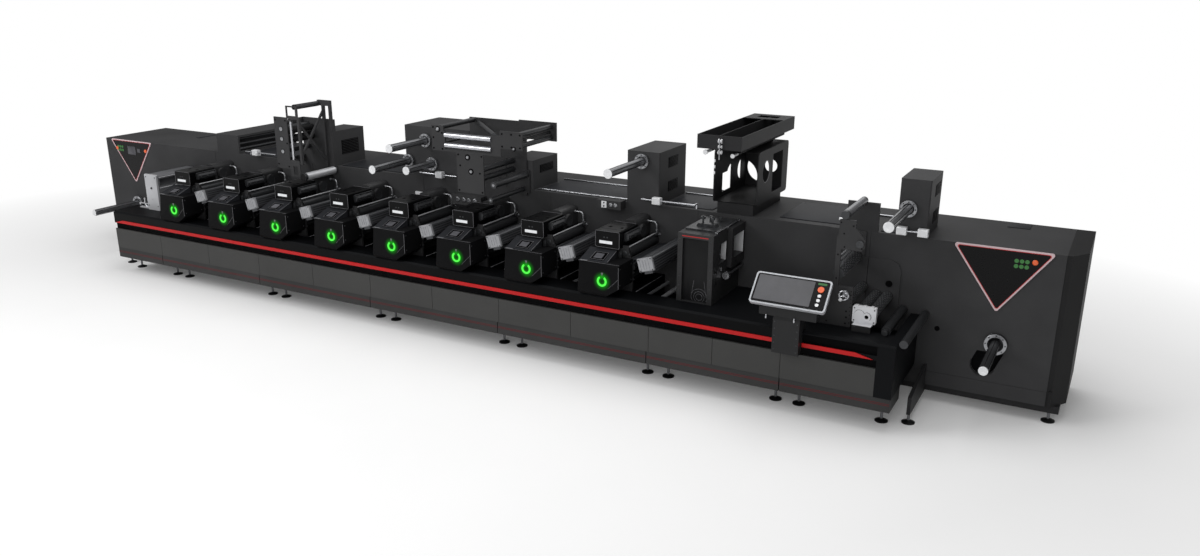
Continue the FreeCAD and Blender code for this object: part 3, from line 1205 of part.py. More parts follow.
# Console on its bracket
console = box(CONSOLE_X - CONSOLE_WIDTH / 2, CONSOLE_X + CONSOLE_WIDTH / 2, CONSOLE_LOW_Y,
              CONSOLE_LOW_Y + CONSOLE_SLANT, CONSOLE_LOW_Z - CONSOLE_THICK, CONSOLE_LOW_Z)
console = console.makeFillet(CONSOLE_CORNER, edges_along(console, 2))
console = turned(console, CONSOLE_X, CONSOLE_LOW_Y, CONSOLE_LOW_Z, UP_X, CONSOLE_TILT)
tilt = math.radians(CONSOLE_TILT)


def slab_z(y):
    """Height of the slab's underside above a depth y."""
    return CONSOLE_LOW_Z + (y - CONSOLE_LOW_Y) * math.tan(tilt) - CONSOLE_THICK / math.cos(tilt)


case_front = BRACKET_FRONT + CASE_IN
case_back = CONSOLE_LOW_Y + CONSOLE_SLANT * math.cos(tilt) - CASE_IN
case_outline = [(case_front, CASE_LOW), (case_front, slab_z(case_front) + 1),
                (case_back, slab_z(case_back) + 1), (case_back, CASE_LOW + CASE_HEEL),
                (case_back - CASE_HEEL, CASE_LOW)]
case = along_x(case_outline, CONSOLE_X - CONSOLE_CASE / 2, CONSOLE_X + CONSOLE_CASE / 2)
bx0 = CONSOLE_X - BRACKET_WIDTH / 2
bx1 = CONSOLE_X + BRACKET_WIDTH / 2
bracket_outline = [
    (BED_FRONT, BRACKET_LOW),
    (BED_FRONT, DECK_Z - DECK_CHAMFER),
    (BED_FRONT + DECK_CHAMFER, DECK_Z),
    (BED_FRONT + BRACKET_BACK, DECK_Z),
    (BED_FRONT + BRACKET_BACK / 2, CASE_LOW + 1),
    (BRACKET_FRONT + CASE_IN, CASE_LOW + 1),
    (BRACKET_FRONT, BRACKET_TOP),
    (BRACKET_FRONT, BRACKET_LOW),
]
console_body = joined(console, case, along_x(bracket_outline, bx0, bx1))
stripe = stripe.cut(box(bx0 - SEAM, bx1 + SEAM, BRACKET_FRONT, BED_FRONT + 1, STRIPE_LOW - 1, STRIPE_TOP + 1))

# Hoist
hx0 = LAST_X + HOIST_LEFT
hx1 = hx0 + HOIST_WIDTH
hy1 = WALL_Y + HOIST_BACK
hoist = box(hx0, hx1, WALL_Y, hy1, HOIST_LOW, HOIST_TOP)
hoist = hoist.makeFillet(HOIST_CORNER, edges_along(hoist, 0))
hoist = hoist.cut(box(hx0 + HOIST_SHEET, hx1 - HOIST_SHEET, WALL_Y - 1, hy1 - HOIST_SHEET,
                      HOIST_LOW + HOIST_SHEET, HOIST_TOP - HOIST_SHEET))
left_cutters = []
for y0, y1, low, round_y, round_z, r in HOIST_LEFT_HOLES:
    disc = rod_x(WALL_Y + round_y, round_z, r, hx0 - 1, hx0 + HOIST_SHEET + 1)
    keep = box(hx0 - 2, hx0 + HOIST_SHEET + 2, WALL_Y + y0, WALL_Y + y1, low, HOIST_TOP)
    left_cutters.append(disc.common(keep))
left_cutters.append(box(hx0 - 1, hx0 + HOIST_SHEET + 1, WALL_Y + HOIST_DOOR_Y, WALL_Y + HOIST_DOOR_Y + HOIST_DOOR,
                        HOIST_DOOR_LOW, HOIST_DOOR_TOP))
hoist = hoist.cut(left_cutters)
right_hole = rod_x(WALL_Y + HOIST_HOLE_Y, HOIST_HOLE_Z, HOIST_HOLE_R, hx1 - HOIST_SHEET - 1, hx1 + 1)
right_slot = box(hx1 - HOIST_SHEET - 1, hx1 + 1, WALL_Y + HOIST_SLOT_Y, WALL_Y + HOIST_SLOT_Y + HOIST_SLOT,
                 HOIST_SLOT_LOW, HOIST_SLOT_TOP)
back_y0 = hy1 - HOIST_SHEET - 1
lens = rod_y(hx0 + LENS_X, LENS_Z, LENS_R, back_y0, hy1 + 1)
lens = lens.common(rod_y(hx0 + LENS_X2, LENS_Z2, LENS_R2, back_y0, hy1 + 1))
back_hole = rod_y(hx0 + BACK_HOLE_X, BACK_HOLE_Z, BACK_HOLE_R, back_y0, hy1 + 1)
hoist = hoist.cut([right_hole, right_slot, lens, back_hole])
beam_x0 = hx0 + BEAM_IN
beam_x1 = beam_x0 + BEAM_WIDTH
base_of_beam = HOIST_TOP + BEAM_GAP
neck_x0 = hx0 + NECK_IN
hoist_foot = box(hx0 + HOIST_FOOT_IN, hx1 - HOIST_FOOT_IN, WALL_Y + HOIST_FOOT_IN / 2, hy1 - HOIST_FOOT_IN,
                 WALL_TOP, HOIST_LOW + 1)
beam_neck = box(neck_x0, neck_x0 + NECK_WIDTH, WALL_Y + NECK_IN, hy1 - NECK_IN, HOIST_TOP, base_of_beam)
hoist = joined(hoist, hoist_foot, beam_neck)
beam_y1 = WALL_BACK - BEAM_BACK
beam_top = base_of_beam + BEAM_HEIGHT
beam_mid = (beam_x0 + beam_x1) / 2
beam = box(beam_x0, beam_x1, BEAM_FRONT, beam_y1, base_of_beam, beam_top)
beam = beam.cut(box(beam_x0 + BEAM_SHEET, beam_x1 - BEAM_SHEET, BEAM_FRONT + BEAM_SHEET, beam_y1 - BEAM_SHEET,
                    base_of_beam + BEAM_SHEET, beam_top + 1))
divider = box(beam_mid - BEAM_SHEET / 2, beam_mid + BEAM_SHEET / 2, BEAM_FRONT, beam_y1, base_of_beam, beam_top)
bridge = box(beam_x0, beam_x1, beam_y1 - BRIDGE_DEPTH, beam_y1, beam_top - BEAM_SHEET, beam_top)
beam = joined(beam, divider, bridge)
beam = beam.cut(box(beam_mid - BRIDGE_SLOT, beam_mid + BRIDGE_SLOT, beam_y1 - BRIDGE_DEPTH * 0.7,
                    beam_y1 - BRIDGE_DEPTH * 0.3, beam_top - BEAM_SHEET - 1, beam_top + 1))
for x, r, tip in ((hx0 + LEFT_ROD, LEFT_ROD_R, LEFT_ROD_TIP), (hx0 + RIGHT_ROD, RIGHT_ROD_R, RIGHT_ROD_TIP)):
    carriage_rod = rod_y(x, CARRIAGE_Z, r, tip, beam_y1 - BEAM_SHEET)
    hangers = [box(x - HANGER / 2, x + HANGER / 2, y, y + HANGER, CARRIAGE_Z, base_of_beam + 1)
               for y in (WALL_Y - HANGER, beam_y1 - BEAM_SHEET - 2 * HANGER)]
    beam = joined(beam, carriage_rod, *hangers)

# Slitter
sx = LAST_X + SLIT_FROM_UNIT
slit_back = SLIT_Y + SLIT_THICK
pad_front = WALL_Y - PAD_THICK
neck_x1 = sx + SLIT_WIDTH * 0.55
head_outline = [
    (sx, SLIT_LOW),
    (sx + SLIT_WIDTH - SLIT_CORNER, SLIT_LOW),
    (sx + SLIT_WIDTH, SLIT_LOW + SLIT_CORNER),
    (sx + SLIT_WIDTH, SLIT_LOW + 3 * SLIT_CORNER),
    (neck_x1, SLIT_TOP - 2 * SLIT_CORNER),
    (neck_x1, SLIT_TOP),
    (sx - SLIT_NECK_LEFT, SLIT_TOP),
    (sx - SLIT_NECK_LEFT, SLIT_TOP - 4 * SLIT_CORNER),
    (sx - SLIT_POST, SLIT_TOP - 5 * SLIT_CORNER),
    (sx - SLIT_POST, FRAME_TOP - 1),
    (sx, FRAME_TOP - 1),
]
slitter = along_y(head_outline, SLIT_Y, slit_back)
frame_x0 = sx + FRAME_LEFT
frame_x1 = frame_x0 + FRAME_WIDTH
boss = rod_y(sx + SLIT_WIDTH - SLIT_POST, SLIT_LOW + 2 * SLIT_CORNER, BOSS_R, SLIT_Y - BOSS_THICK, SLIT_Y)
slitter = joined(slitter, box(frame_x0, frame_x1, SLIT_Y, slit_back, DECK_Z, FRAME_TOP), boss)
slit_rear = box(sx - SLIT_REAR_LEFT, sx + SLIT_REAR_RIGHT, WALL_Y, WALL_Y + SLIT_THICK, WALL_TOP,
                SLIT_TOP + TOP_ROLL_R * 0.6)
slitter_rollers = [rod_y(sx + TOP_ROLL_FROM, SLIT_TOP + TOP_ROLL_R, TOP_ROLL_R, SLIT_Y + NIP_ROLL_IN, WALL_Y)]
for x, down, r in SLIT_ROLLS:
    slitter_rollers.append(rod_y(sx + x, SLIT_LOW - down, r, slit_back, pad_front))
pinch_x0 = frame_x1 + PINCH_GAP
pinch_x1 = pinch_x0 + PINCH_WIDTH
pinch_mid = (PINCH_LOW + PINCH_TOP) / 2
pinch_back = SLIT_Y + PINCH_THICK
nip_block = box(pinch_x0, pinch_x1, SLIT_Y, pinch_back, PINCH_LOW, PINCH_TOP)
nip_block = nip_block.makeFillet(PINCH_GAP, edges_along(nip_block, 1))
ring_x = pinch_x0 + PINCH_WIDTH * 0.62
disc = rod_y(pinch_x0 + PINCH_WIDTH * 0.3, pinch_mid, PINCH_DISC_R, SLIT_Y - BOSS_THICK, SLIT_Y)
ring = rod_y(ring_x, pinch_mid - PINCH_GAP, PINCH_RING_R, SLIT_Y - BOSS_THICK * 1.5, SLIT_Y)
ring = ring.cut(rod_y(ring_x, pinch_mid - PINCH_GAP, PINCH_RING_R / 2, SLIT_Y - 2 * BOSS_THICK, SLIT_Y))
foot_x0 = pinch_x0 + PINCH_FOOT_IN
foot_x1 = pinch_x1 - PINCH_FOOT_IN
foot_front = WELL_FRONT - PINCH_FOOT_OUT
pinch_foot = box(foot_x0, foot_x1, foot_front, pinch_back, PINCH_LOW - PINCH_SHEET, PINCH_LOW)
pinch_leg = box(foot_x0, foot_x1, foot_front, foot_front + PINCH_SHEET, DECK_Z, PINCH_LOW)
nip_block = joined(nip_block, disc, ring, pinch_foot, pinch_leg)
for share in (0.27, 0.76):
    slitter_rollers.append(rod_y(pinch_x0 + PINCH_WIDTH * share, pinch_mid, PINCH_R, pinch_back, pad_front))
out_x = BED_X1 - END_BLOCK
outlet_z = DECK_Z + OUTLET_NECK + SEAM
slitter_rollers.append(joined(rod_y(out_x, outlet_z, OUTLET_R, WELL_FRONT, WALL_Y),
                              rod_y(out_x, outlet_z, OUTLET_NECK, WELL_FRONT - OUTLET_JOURNAL, WELL_FRONT)))
slitter_rollers.append(rod_y(BED_X1 + END_ROLL_R + END_ROLL_GAP, DECK_Z + END_ROLL_GAP, END_ROLL_R,
                             BED_FRONT + END_ROLL_IN, WALL_Y))

# Triangular panels on the two end housings
end_panels = []
for x0 in (WALL_X0 - (TRI_WIDTH + UNWIND_IN) + TRI_WIDTH / 2, WALL_X1 + TRI_IN):
    outline = [(x0, TRI_TOP), (x0 + TRI_WIDTH / 2, TRI_TOP - TRI_HEIGHT), (x0 + TRI_WIDTH, TRI_TOP)]
    panel = along_y(outline, WALL_Y - TRI_THICK, WALL_Y)
    end_panels.append(panel.makeFillet(TRI_CORNER, edges_along(panel, 1)))

save("machine_wall", [wall])
save("unwinder_cabinet", [unwinder])
save("rewinder_cabinet", [rewinder])
save("housing_plinth", [plinth])
save("print_bed", [bed])
save("bed_panels", panels)
save("bed_stripe", stripe.Solids)
save("base_rails", rails)
save("leveling_feet", feet)
save("gear_covers", covers)
save("cover_rings", rings)
save("screen_housings", housings)
save("screens", screens)
save("print_heads", heads)
save("head_lamps", lamps)
save("ink_chambers", chambers)
save("lamp_cassettes", cassettes)
save("cassette_ends", ends)
save("unit_frames", frames)
save("plate_cylinders", cylinders)
save("anilox_rollers", aniloxes)
save("idler_rollers", idlers + infeed_rods + tower_rollers + nip_rollers + slitter_rollers)
save("first_station", [station])
save("station_plate", [station_plate])
save("tower_frame", [tower])
save("wall_boxes", wall_boxes)
save("nip_frame", [nip_frame])
save("nip_bars", nip_bars)
save("wall_rails", wall_rails)
save("rail_blocks", rail_blocks)
save("die_station", [die])
save("die_top_plate", [die_top])
save("die_rollers", die_rollers)
save("console_body", [console_body])
save("hoist_beam", [beam])
save("hoist_housing", [hoist])
save("slitter_plate", [slitter, slit_rear])
save("nip_block", [nip_block])
save("end_panels", end_panels)
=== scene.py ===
import math

import bmesh
import bpy
from mathutils import Matrix, Vector


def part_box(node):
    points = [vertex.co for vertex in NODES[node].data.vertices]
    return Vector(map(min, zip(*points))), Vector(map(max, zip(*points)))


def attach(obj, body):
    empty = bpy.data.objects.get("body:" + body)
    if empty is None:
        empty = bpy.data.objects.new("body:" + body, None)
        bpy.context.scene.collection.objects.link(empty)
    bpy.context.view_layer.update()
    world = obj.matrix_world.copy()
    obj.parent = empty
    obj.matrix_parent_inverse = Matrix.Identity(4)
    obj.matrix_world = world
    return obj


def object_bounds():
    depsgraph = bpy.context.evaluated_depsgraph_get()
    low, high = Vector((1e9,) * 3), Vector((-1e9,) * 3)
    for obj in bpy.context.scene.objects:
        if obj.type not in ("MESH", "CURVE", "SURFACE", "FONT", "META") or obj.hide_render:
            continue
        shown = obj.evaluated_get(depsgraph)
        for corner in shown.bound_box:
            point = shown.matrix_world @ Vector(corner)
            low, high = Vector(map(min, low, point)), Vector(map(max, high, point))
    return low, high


# A label press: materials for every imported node, and the small parts that dress them.
# Lengths are metres. Pieces are given with X counted from the centre of the first print unit,
# Y from the front of the unit covers and Z from the floor, as in the part's source.

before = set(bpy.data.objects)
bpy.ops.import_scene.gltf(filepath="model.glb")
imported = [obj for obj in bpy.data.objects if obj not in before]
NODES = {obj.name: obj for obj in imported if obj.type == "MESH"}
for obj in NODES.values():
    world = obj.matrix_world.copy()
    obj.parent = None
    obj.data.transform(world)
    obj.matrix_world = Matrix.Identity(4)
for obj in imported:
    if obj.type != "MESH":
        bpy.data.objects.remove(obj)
CAD_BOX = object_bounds()
BODY = "press"

# Places read from the frame, and sizes shared with the part's source
UNITS = 8
PITCH = 0.8
COVER_LEFT = -0.250
cover_low, cover_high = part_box("gear_covers")
UNIT_X = cover_low.x - COVER_LEFT
FRONT_Y = cover_low.y
ORIGIN = Vector((UNIT_X, FRONT_Y, 0))
COVER_TOP = cover_high.z
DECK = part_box("print_bed")[1].z
WALL_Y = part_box("unwinder_cabinet")[0].y - FRONT_Y
WALL_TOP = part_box("unwinder_cabinet")[1].z
HOUSING_SLOPE = 19.0       # degrees of the screen's wedge
CASSETTE_TILT = 16.0
BRACKET_X = 7.330          # middle of the console's bracket
BRACKET_HALF = 0.1125
SLAB_TILT = 45.0           # the console's slab, with its lower front edge
SLAB_LOW_Y = -0.108
SLAB_LOW_Z = 1.003
SLAB_THICK = 0.0335
RING_Z = 0.925             # ring on each cover, and how far the green glow painted round it reaches
RING_R = 0.040
GLOW_REACH = 0.062
BACK_PANEL = 1.46          # width of a panel on the back, and the joint above its sill
BACK_SILL = 0.30
# width of the right end painted darker: a darker corner post, and painted shade on the right side
POST_AND_SIDE_SHADE = 0.150
TRI_WIDTH = 0.726          # triangular panels
TRI_TOP = 1.432
TRI_HEIGHT = 0.524
TRI_RIM = 0.031
CENTRE_FRONT = 0.300       # front of the centre plates and of the slitter's plate

FRONT, BACK, RIGHT, UP = (0, -1, 0), (0, 1, 0), (1, 0, 0), (0, 0, 1)


def at(point):
    """A place in the frame, from one counted as the pieces are."""
    return Vector((UNIT_X + point[0], FRONT_Y + point[1], point[2]))


def local_box(node):
    """Corners of a node, counted as the pieces are."""
    low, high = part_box(node)
    return low - ORIGIN, high - ORIGIN


# Materials
def srgb(r, g, b):
    """A colour as it is seen, 0 to 255, as the linear values that a shader takes."""
    return (*(c / 12.92 if c <= 0.04045 else ((c + 0.055) / 1.055) ** 2.4
              for c in (r / 255, g / 255, b / 255)), 1.0)


def shade(colour, factor):
    return tuple(min(1.0, c * factor) for c in colour[:3]) + (1.0,)


class Tree:
    """A node tree, with short ways to add nodes and join them."""

    def __init__(self, owner):
        owner.use_nodes = True
        self.nodes, self.links = owner.node_tree.nodes, owner.node_tree.links
        self.shader = self.nodes.get("Principled BSDF")

    def put(self, socket, value):
        """A constant, or another node's output, into an input."""
        if isinstance(value, bpy.types.NodeSocket):
            self.links.new(value, socket)
        else:
            socket.default_value = value

    def add(self, kind, inputs=None, **settings):
        node = self.nodes.new("ShaderNode" + kind)
        for key, value in settings.items():
            setattr(node, key, value)
        for key, value in (inputs or {}).items():
            self.put(node.inputs[key], value)
        return node

    def shade(self, **inputs):
        """Inputs of the main shader, with underscores for spaces in their names."""
        for key, value in inputs.items():
            self.put(self.shader.inputs[key.replace("_", " ")], value)

    def math(self, kind, *values):
        return self.add("Math", dict(enumerate(values)), operation=kind).outputs[0]

    def place(self):
        return self.add("TexCoord").outputs["Object"]

    def xyz(self):
        split = self.add("SeparateXYZ", {"Vector": self.place()}).outputs
        return split["X"], split["Y"], split["Z"]

    def squeezed(self, scale=(1, 1, 1)):
        """Object coordinates, squeezed along an axis for brushed or ground surfaces."""
        return self.add("Mapping", {"Vector": self.place(), "Scale": scale}).outputs["Vector"]

    def noise(self, vector, scale, detail=3.0):
        inputs = {"Vector": vector, "Scale": scale, "Detail": detail, "Roughness": 0.55}
        return self.add("TexNoise", inputs).outputs["Fac"]

    def span(self, value, low, high, new_low, new_high):
        inputs = {"Value": value, "From Min": low, "From Max": high, "To Min": new_low, "To Max": new_high}
        return self.add("MapRange", inputs).outputs["Result"]

    def ramp(self, value, dark, light):
        node = self.add("ValToRGB", {"Fac": value})
        for point, place, colour in zip(node.color_ramp.elements, (0.3, 0.7), (dark, light)):
            point.position, point.color = place, colour
        return node.outputs["Color"]

    def mix(self, mask, under, over):
        inputs = {"Factor": mask, "A": under, "B": over}
        return self.add("Mix", inputs, data_type="RGBA").outputs["Result"]

    def repaint(self, mask, colour):
        """Where the mask is 1, the base colour gives way to this one."""
        under = self.shader.inputs["Base Color"].links[0].from_socket
        self.shade(Base_Color=self.mix(mask, under, colour))

    def seen_by(self, other):
        """1 for rays from the camera and for rays of one other kind."""
        path = self.add("LightPath").outputs
        return self.math("MAXIMUM", path["Is Camera Ray"], path[other])


def surface(name, colour, rough, metal=0.0, spread=0.15, patch=1.6, grain=700.0, bump=0.12,
            stretch=(1, 1, 1), coat=0.0, rough_spread=0.10, gloss=0.5):
    """Paint, metal or plastic: slow tone changes, fine grain in the gloss, and a light bump."""
    mat = bpy.data.materials.new(name)
    tree = Tree(mat)
    colour = srgb(*colour)
    slow = tree.noise(tree.squeezed(), patch, 4.0)
    quick = tree.noise(tree.squeezed(stretch), grain, 2.0)
    lifted = tree.add("Bump", {"Height": quick, "Strength": bump, "Distance": 0.0006})
    tree.shade(Base_Color=tree.ramp(slow, shade(colour, 1 - spread), shade(colour, 1 + spread)),
               Roughness=tree.span(quick, 0.3, 0.7, rough - rough_spread / 2, rough + rough_spread / 2),
               Metallic=metal, Specular_IOR_Level=gloss, Normal=lifted.outputs["Normal"])
    if coat:
        tree.shade(Coat_Weight=coat, Coat_Roughness=0.08)
    return mat


def glowing(name, colour, strength):
    """A lit window: its light is a little uneven, as behind a diffuser."""
    mat = bpy.data.materials.new(name)
    tree = Tree(mat)
    colour = srgb(*colour)
    uneven = tree.noise(tree.squeezed(), 35.0)
    tree.shade(Emission_Color=tree.ramp(uneven, shade(colour, 0.85), colour), Emission_Strength=strength,
               Base_Color=shade(colour, 0.2), Roughness=0.4)
    return mat


def cover_paint(name, colour, glow_colour):
    """Dark cover paint, with the green light of each unit's ring painted round it as a glow."""
    mat = surface(name, colour, 0.50, grain=900.0, bump=0.10, gloss=0.04)
    tree = Tree(mat)
    x, y, z = tree.xyz()
    along = tree.math("SUBTRACT", x, ORIGIN.x - PITCH / 2)
    along = tree.math("SUBTRACT", tree.math("MODULO", along, PITCH), PITCH / 2)
    up = tree.math("SUBTRACT", z, RING_Z)
    square = tree.math("ADD", tree.math("MULTIPLY", along, along), tree.math("MULTIPLY", up, up))
    off_ring = tree.math("ABSOLUTE", tree.math("SUBTRACT", tree.math("SQRT", square), RING_R))
    fall = tree.span(off_ring, 0.0, GLOW_REACH, 1.0, 0.0)
    front = tree.span(y, ORIGIN.y + 0.02, ORIGIN.y + 0.03, 1.0, 0.0)
    # the ring's green light on the cover is painted on as emission
    glow = tree.math("MULTIPLY", tree.math("POWER", fall, 2.6), front)
    tree.shade(Emission_Color=tree.mix(glow, (0, 0, 0, 1), srgb(*glow_colour)), Emission_Strength=0.50)
    return mat


def console_paint(name, dark, light):
    """Light metal on the tilted slab and dark paint on what lies below its plane."""
    mat = surface(name, dark, 0.45, grain=700.0, gloss=0.2)
    tree = Tree(mat)
    tilt = math.radians(SLAB_TILT)
    normal = Vector((0, -math.sin(tilt), math.cos(tilt)))
    height = tree.add("VectorMath", {0: tree.place(), 1: normal}, operation="DOT_PRODUCT")
    under = normal.dot(ORIGIN + Vector((0, SLAB_LOW_Y, SLAB_LOW_Z))) - SLAB_THICK
    mask = tree.span(height.outputs["Value"], under, under + 0.0004, 0.0, 1.0)
    tree.repaint(mask, srgb(*light))
    tree.shade(Metallic=tree.span(mask, 0.0, 1.0, 0.0, 0.6))
    return mat


def panelled(name, colour):
    """Housing paint with the joints of the back panels, and the right end darker: its darker post at the front corner,
    and painted shade on its right side.
    """
    mat = surface(name, colour, 0.55, grain=850.0, gloss=0.08)
    tree = Tree(mat)
    x, y, z = tree.xyz()
    along = tree.math("MODULO", tree.math("ADD", x, 20.0), BACK_PANEL)
    joint = tree.math("LESS_THAN", along, 0.006)
    sill = tree.math("COMPARE", z, BACK_SILL, 0.003)
    back = tree.math("GREATER_THAN", y, CAD_BOX[1].y - 0.002)
    lines = tree.math("MULTIPLY", tree.math("MAXIMUM", joint, sill), back)
    # the right end darker: partly its darker corner post, partly painted shade on the right side
    post_and_side_shade = tree.math("GREATER_THAN", x, CAD_BOX[1].x - POST_AND_SIDE_SHADE)
    tree.repaint(tree.math("MAXIMUM", lines, tree.math("MULTIPLY", post_and_side_shade, 0.62)), (0.002, 0.002, 0.002, 1))
    return mat


def two_tone(name, lower, upper, height, metal):
    """One colour up to a height above the floor and bright metal above it."""
    mat = surface(name, lower, 0.5, grain=400.0, gloss=0.3)
    tree = Tree(mat)
    mask = tree.span(tree.xyz()[2], height, height + 0.001, 0.0, 1.0)
    tree.repaint(mask, srgb(*upper))
    tree.shade(Metallic=tree.span(mask, 0.0, 1.0, 0.0, metal))
    return mat


BRUSHED = (1, 0.04, 1)
M = {
    "housing": panelled("housing_paint", (60, 60, 61)),
    "housing_dark": surface("housing_dark", (42, 42, 43), 0.52, grain=800.0, gloss=0.10),
    "rail": surface("rail_paint", (50, 50, 50), 0.52, grain=800.0, gloss=0.2),
    "bed": surface("bed_paint", (58, 58, 57), 0.52, grain=900.0, spread=0.08, gloss=0.25),
    "deck": surface("deck_paint", (12, 13, 15), 0.5, grain=800.0, gloss=0.08),
    "hatch": surface("hatch_paint", (40, 41, 44), 0.5, grain=800.0, gloss=0.12),
    # black for dark screws and plugs, and painted shade in holes and recesses
    "recess": surface("black_and_painted_shade", (8, 8, 9), 0.8, grain=300.0, gloss=0.05),
    "red": surface("red_enamel", (182, 7, 11), 0.45, spread=0.05, grain=1200.0, bump=0.05, gloss=0.3),
    "red_dark": surface("red_dull", (92, 24, 28), 0.5, spread=0.05, grain=900.0, gloss=0.2),
    "cover": cover_paint("cover_paint", (17, 17, 18), (25, 215, 25)),
    # grey for marks and raised lines, and painted highlights along edges of the covers and heads
    "edge": surface("grey_paint_and_edge_highlight", (104, 104, 107), 0.42, spread=0.08, grain=900.0, gloss=0.3),
    "ring": glowing("ring_light", (70, 240, 62), 1.15),
    "head": surface("head_gloss", (6, 6, 7), 0.30, spread=0.1, grain=500.0, bump=0.02, rough_spread=0.05,
                    gloss=0.10),
    "lamp": glowing("lamp_white", (250, 252, 255), 0.66),
    "screen": surface("screen_glass", (5, 5, 6), 0.3, grain=120.0, bump=0.0, rough_spread=0.04, gloss=0.01),
    "display": surface("display_grey", (84, 84, 88), 0.3, spread=0.3, patch=9.0, grain=500.0, bump=0.01,
                       gloss=0.05),
    "steel": surface("ground_steel", (150, 151, 154), 0.30, metal=0.9, grain=260.0, stretch=BRUSHED),
    "dark_steel": surface("black_steel", (62, 63, 65), 0.36, metal=0.6, grain=260.0, stretch=BRUSHED, gloss=0.4),
    "chrome": surface("chrome", (184, 185, 189), 0.25, metal=1.0, spread=0.08, grain=200.0, bump=0.01,
                      rough_spread=0.04),
    "aluminium": surface("aluminium", (205, 206, 209), 0.38, metal=0.55, grain=420.0, stretch=(1, 0.05, 1)),
    "bright": surface("bright_metal", (226, 227, 229), 0.42, metal=0.25, grain=420.0, spread=0.06),
    "die_top": surface("die_plate", (58, 59, 61), 0.36, metal=0.4, spread=0.6, patch=26.0, grain=120.0, bump=0.2,
                       gloss=0.3),
    "cassette": surface("cassette_grey", (72, 73, 76), 0.36, metal=0.35, grain=420.0, stretch=BRUSHED, gloss=0.3),
    "cap": surface("cap_silver", (148, 149, 152), 0.42, metal=0.25, spread=0.10, patch=40.0, grain=600.0, gloss=0.3),
    "rubber": surface("rubber", (20, 20, 21), 0.70, grain=500.0, gloss=0.2),
    "foot": two_tone("foot_steel", (16, 16, 17), (112, 113, 116), 0.026, 0.4),
    "frame": surface("frame_paint", (46, 46, 47), 0.46, grain=800.0, gloss=0.25),
    "die": surface("die_paint", (40, 40, 41), 0.44, grain=800.0, gloss=0.25),
    "white_edge": surface("pale_edge", (206, 182, 186), 0.4, spread=0.05, grain=900.0, gloss=0.3),
    "panel_black": surface("panel_glass", (7, 7, 8), 0.28, grain=60.0, bump=0.0, rough_spread=0.04, gloss=0.14),
    "band": surface("band_gloss", (7, 7, 8), 0.36, spread=0.1, grain=700.0, bump=0.03, gloss=0.07),
    "red_light": glowing("red_light", (190, 10, 14), 0.55),
    "green_light": glowing("green_light", (48, 120, 48), 0.55),
    "orange": surface("orange_button", (232, 96, 40), 0.35, grain=300.0, coat=0.3),
    "console": console_paint("console_paint", (34, 34, 35), (180, 182, 186)),
    "console_display": surface("console_grey", (84, 84, 87), 0.26, spread=0.14, patch=5.0, grain=500.0, bump=0.01,
                               gloss=0.3),
    "wedge": surface("wedge_paint", (40, 41, 44), 0.50, grain=900.0, gloss=0.04),
    "shaft": surface("shaft_steel", (128, 129, 132), 0.30, metal=0.75, grain=260.0, stretch=BRUSHED),
    "plinth": surface("plinth_paint", (44, 44, 45), 0.52, grain=800.0, gloss=0.1),
    "station_body": surface("station_grey", (112, 113, 116), 0.40, metal=0.3, grain=420.0, gloss=0.3),
    "guard": surface("guard_black", (24, 24, 25), 0.42, spread=0.35, patch=2.2, grain=700.0, gloss=0.12),
    "station": surface("station_silver", (186, 187, 190), 0.42, metal=0.25, grain=600.0, gloss=0.3),
    "nip": two_tone("nip_silver", (30, 30, 31), (226, 227, 230), 0.829, 0.25),
    "white": surface("white_button", (230, 231, 233), 0.4, grain=400.0, gloss=0.3),
}
SHAFTS = [name for name in NODES if name.endswith("_shaft")]
NODES_OF = {
    "housing": "machine_wall unwinder_cabinet rewinder_cabinet tower_frame wall_boxes",
    "housing_dark": "hoist_beam hoist_housing", "plinth": "housing_plinth", "rail": "base_rails",
    "bed": "bed_panels", "deck": "print_bed", "red": "bed_stripe", "foot": "leveling_feet",
    "cover": "gear_covers", "ring": "cover_rings", "wedge": "screen_housings", "screen": "screens",
    "head": "print_heads", "lamp": "head_lamps", "cassette": "lamp_cassettes", "cap": "cassette_ends",
    "dark_steel": "ink_chambers plate_cylinders anilox_rollers idler_rollers rewind_shaft",
    "frame": "unit_frames nip_frame slitter_plate", "station_body": "first_station",
    "station": "station_plate", "chrome": "nip_bars wall_rails die_rollers", "bright": "rail_blocks",
    "die": "die_station", "die_top": "die_top_plate", "console": "console_body", "nip": "nip_block",
    "white_edge": "end_panels", "shaft": " ".join(name for name in SHAFTS if name != "rewind_shaft"),
}
for material, names in NODES_OF.items():
    for name in names.split():
        NODES[name].data.materials.clear()
        NODES[name].data.materials.append(M[material])


# Mesh building
PIECES = []


